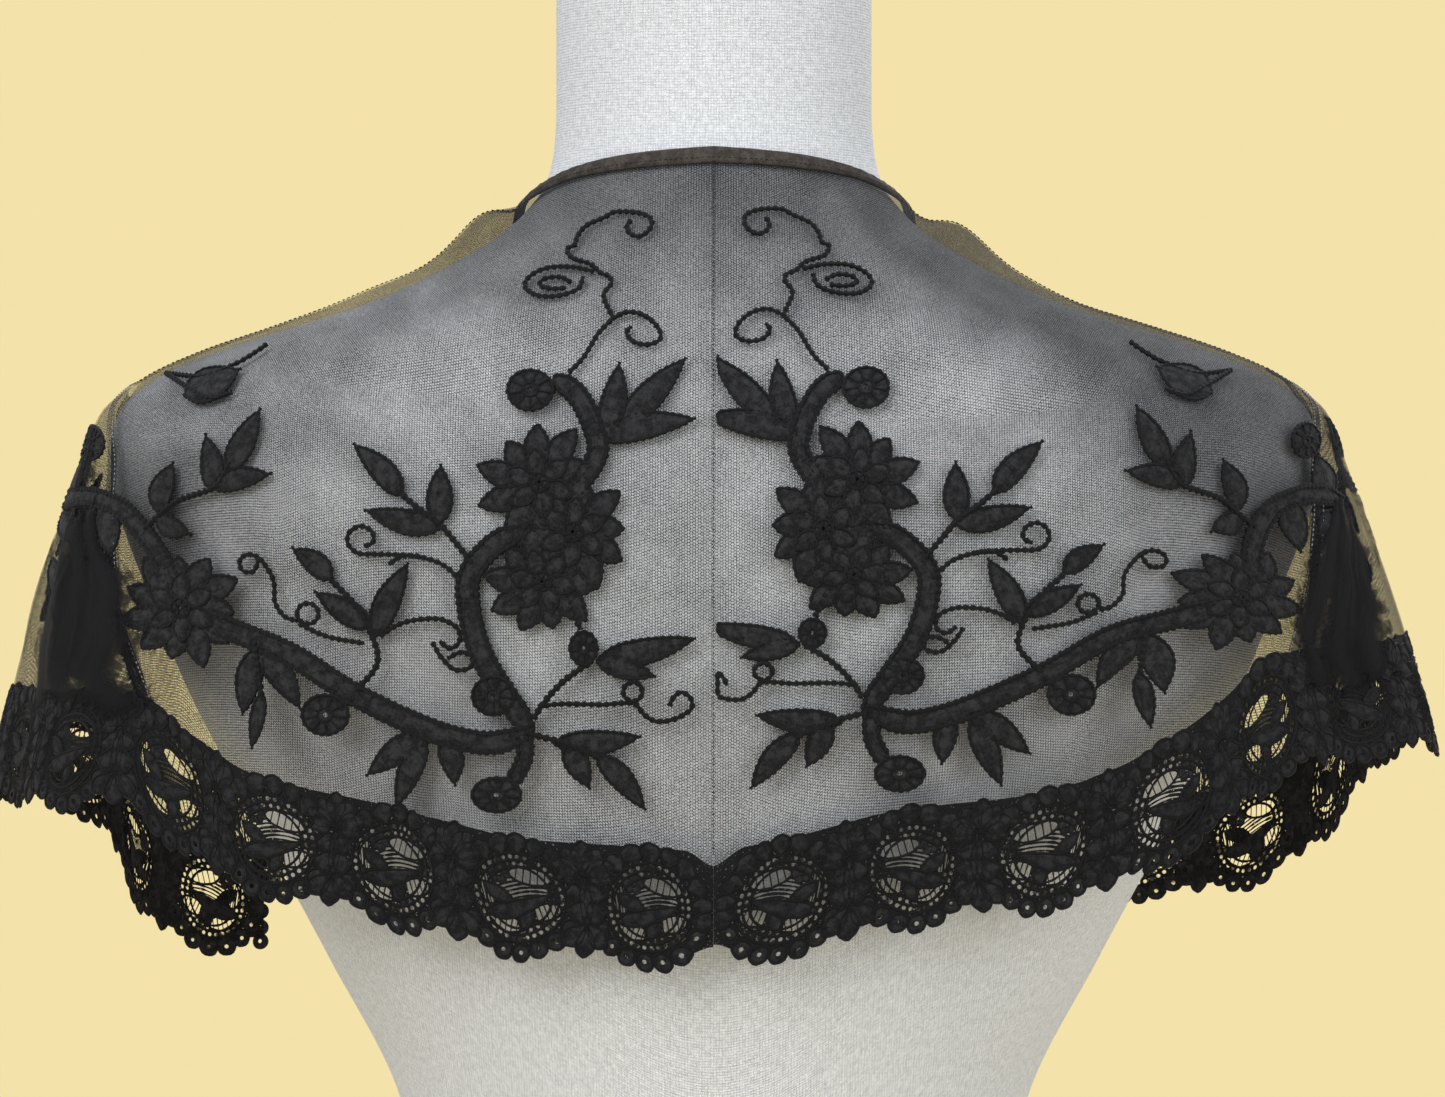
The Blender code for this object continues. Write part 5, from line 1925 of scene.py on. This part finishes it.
def makeNeckBand():
    sideGrids = []
    shares = np.linspace(*band["shares"], band["rows"])
    for side in (-1, 1):
        end = frontEdgeAngles(side, np.array([band["endShare"]]))[0]
        angles = np.linspace(-90, end, band["columns"])
        angles, rows = np.meshgrid(angles, shares)
        profile = band["rise"] * np.sqrt(np.clip(1 - np.linspace(-1, 1, band["rows"]) ** 4, 0, 1))
        ripple = 0.12 * np.sin(angles * 0.9 + 1.3 * side) + 0.08 * np.sin(angles * 2.3)
        heights = heightAt(side, angles, rows)
        rippled = profile[:, None] + ripple * (profile[:, None] > 0.3)
        outside = capePoints(side, angles, heights, band["edge"] + rippled)
        inside = capePoints(side, angles, heights, band["inner"])
        if side < 0:
            sideGrids.append((outside[:, ::-1], inside[:, ::-1]))
        else:
            sideGrids.append((outside[:, 1:], inside[:, 1:]))
    outside = np.concatenate([sideGrids[0][0], sideGrids[1][0]], axis=1)
    inside = np.concatenate([sideGrids[0][1], sideGrids[1][1]], axis=1)
    rows, columns = outside.shape[:2]
    uvs = np.stack([runLengths(outside, 1), -runLengths(outside, 0)], -1).reshape(-1, 2) * mm
    points = toWorld(np.concatenate([outside.reshape(-1, 3), inside.reshape(-1, 3)]))
    faces = closeShell(gridFaces(rows, columns), rows * columns)
    mesh = newMesh("neckBand", points, faces, np.concatenate([uvs, uvs]))
    return addPiece("neckBand", mesh, [bandCloth], "binding", ("neck_binding",), sharp=60)


def seamRoute(side, kind, count=160):
    # angles and heights along a seam
    top = sleeveTopShare if kind.startswith("armhole") else netTopShare
    shares = np.linspace(top, sleeveTopShare if kind == "shoulder" else 1.0, count)
    if kind == "centre":
        angles = np.full(count, -90.0)
    elif kind == "front":
        angles = frontEdgeAngles(side, shares)
    elif kind == "armholeFront":
        angles = armholeAngles(side, shares, True)
    else:
        angles = -armholeAngles(side, shares, False)
    return angles, heightAt(side, angles, shares)


# How far the seam tape's two faces and its stitches lie above the net
seamRise = (0.08, 0.32, 0.42)


def makeSeam(side, kind, halfWidth, rows, inward=0.0, thread=sewingThread):
    # a turned strip of net over the seam, and rows of stitches beside it
    name = kind[0].upper() + kind[1:] + sides[side]
    angles, heights = seamRoute(side, kind)
    offsets = np.linspace(-halfWidth, halfWidth, 5) + inward
    grid = np.stack([moveRound(side, angles, heights, offset) for offset in offsets], axis=1)
    gridHeights = np.broadcast_to(heights[:, None], grid.shape)
    under, over, stitched = (layers["netOuter"] + rise for rise in seamRise)
    mesh, _ = shellFromGrid("seam", side, grid, gridHeights, under, over)
    strip = addPiece("seamTape" + name, mesh, [seamNet], "net")
    paths = []
    for offset in rows:
        route = moveRound(side, angles, heights, offset + inward)
        paths.append((np.stack([route, heights], -1), False, stitched, "sewn"))

    def place(angle, height, out):
        return toWorld(capePoints(side, angle, height, out))

    sewn = runTree(stitchesOnPaths, pathMesh(paths, place), dict(stitches, Material=thread))
    return strip, addPiece("stitches" + name, sewn, [thread], "binding")


neckBand = makeNeckBand()
seams = []
seams += makeSeam(1, "centre", 0.45, (0.0,))
for side in sides:
    seams += makeSeam(side, "shoulder", 1.4, (-0.9, 0.9))
    seams += makeSeam(side, "armholeBack", 2.9, (-2.4, 2.4), thread=paleThread)
    seams += makeSeam(side, "armholeFront", 2.9, (-2.4, 2.4), thread=paleThread)
    seams += makeSeam(side, "front", 1.8, (-1.4, 1.2), -1.9)


def makeBandStitches():
    paths = []
    for side in sides:
        end = frontEdgeAngles(side, np.array([band["stitchShare"]]))[0]
        angles = np.linspace(-90, end, band["stitchPoints"])
        heights = heightAt(side, angles, band["stitchShare"])
        paths.append(toWorld(capePoints(side, angles, heights, band["edge"] + band["rise"] + 0.05)))
    mesh = bpy.data.meshes.new("bandPaths")
    count = band["stitchPoints"]
    edges = [(index, index + 1) for index in range(2 * count - 1) if index != count - 1]
    mesh.from_pydata([tuple(point) for point in np.concatenate(paths)], edges, [])
    sewn = runTree(stitchesOnPaths, mesh, dict(stitches, Material=sewingThread))
    return addPiece("stitchesNeckBand", sewn, [sewingThread], "binding")


bandStitches = makeBandStitches()
print("seams and stitches ready")
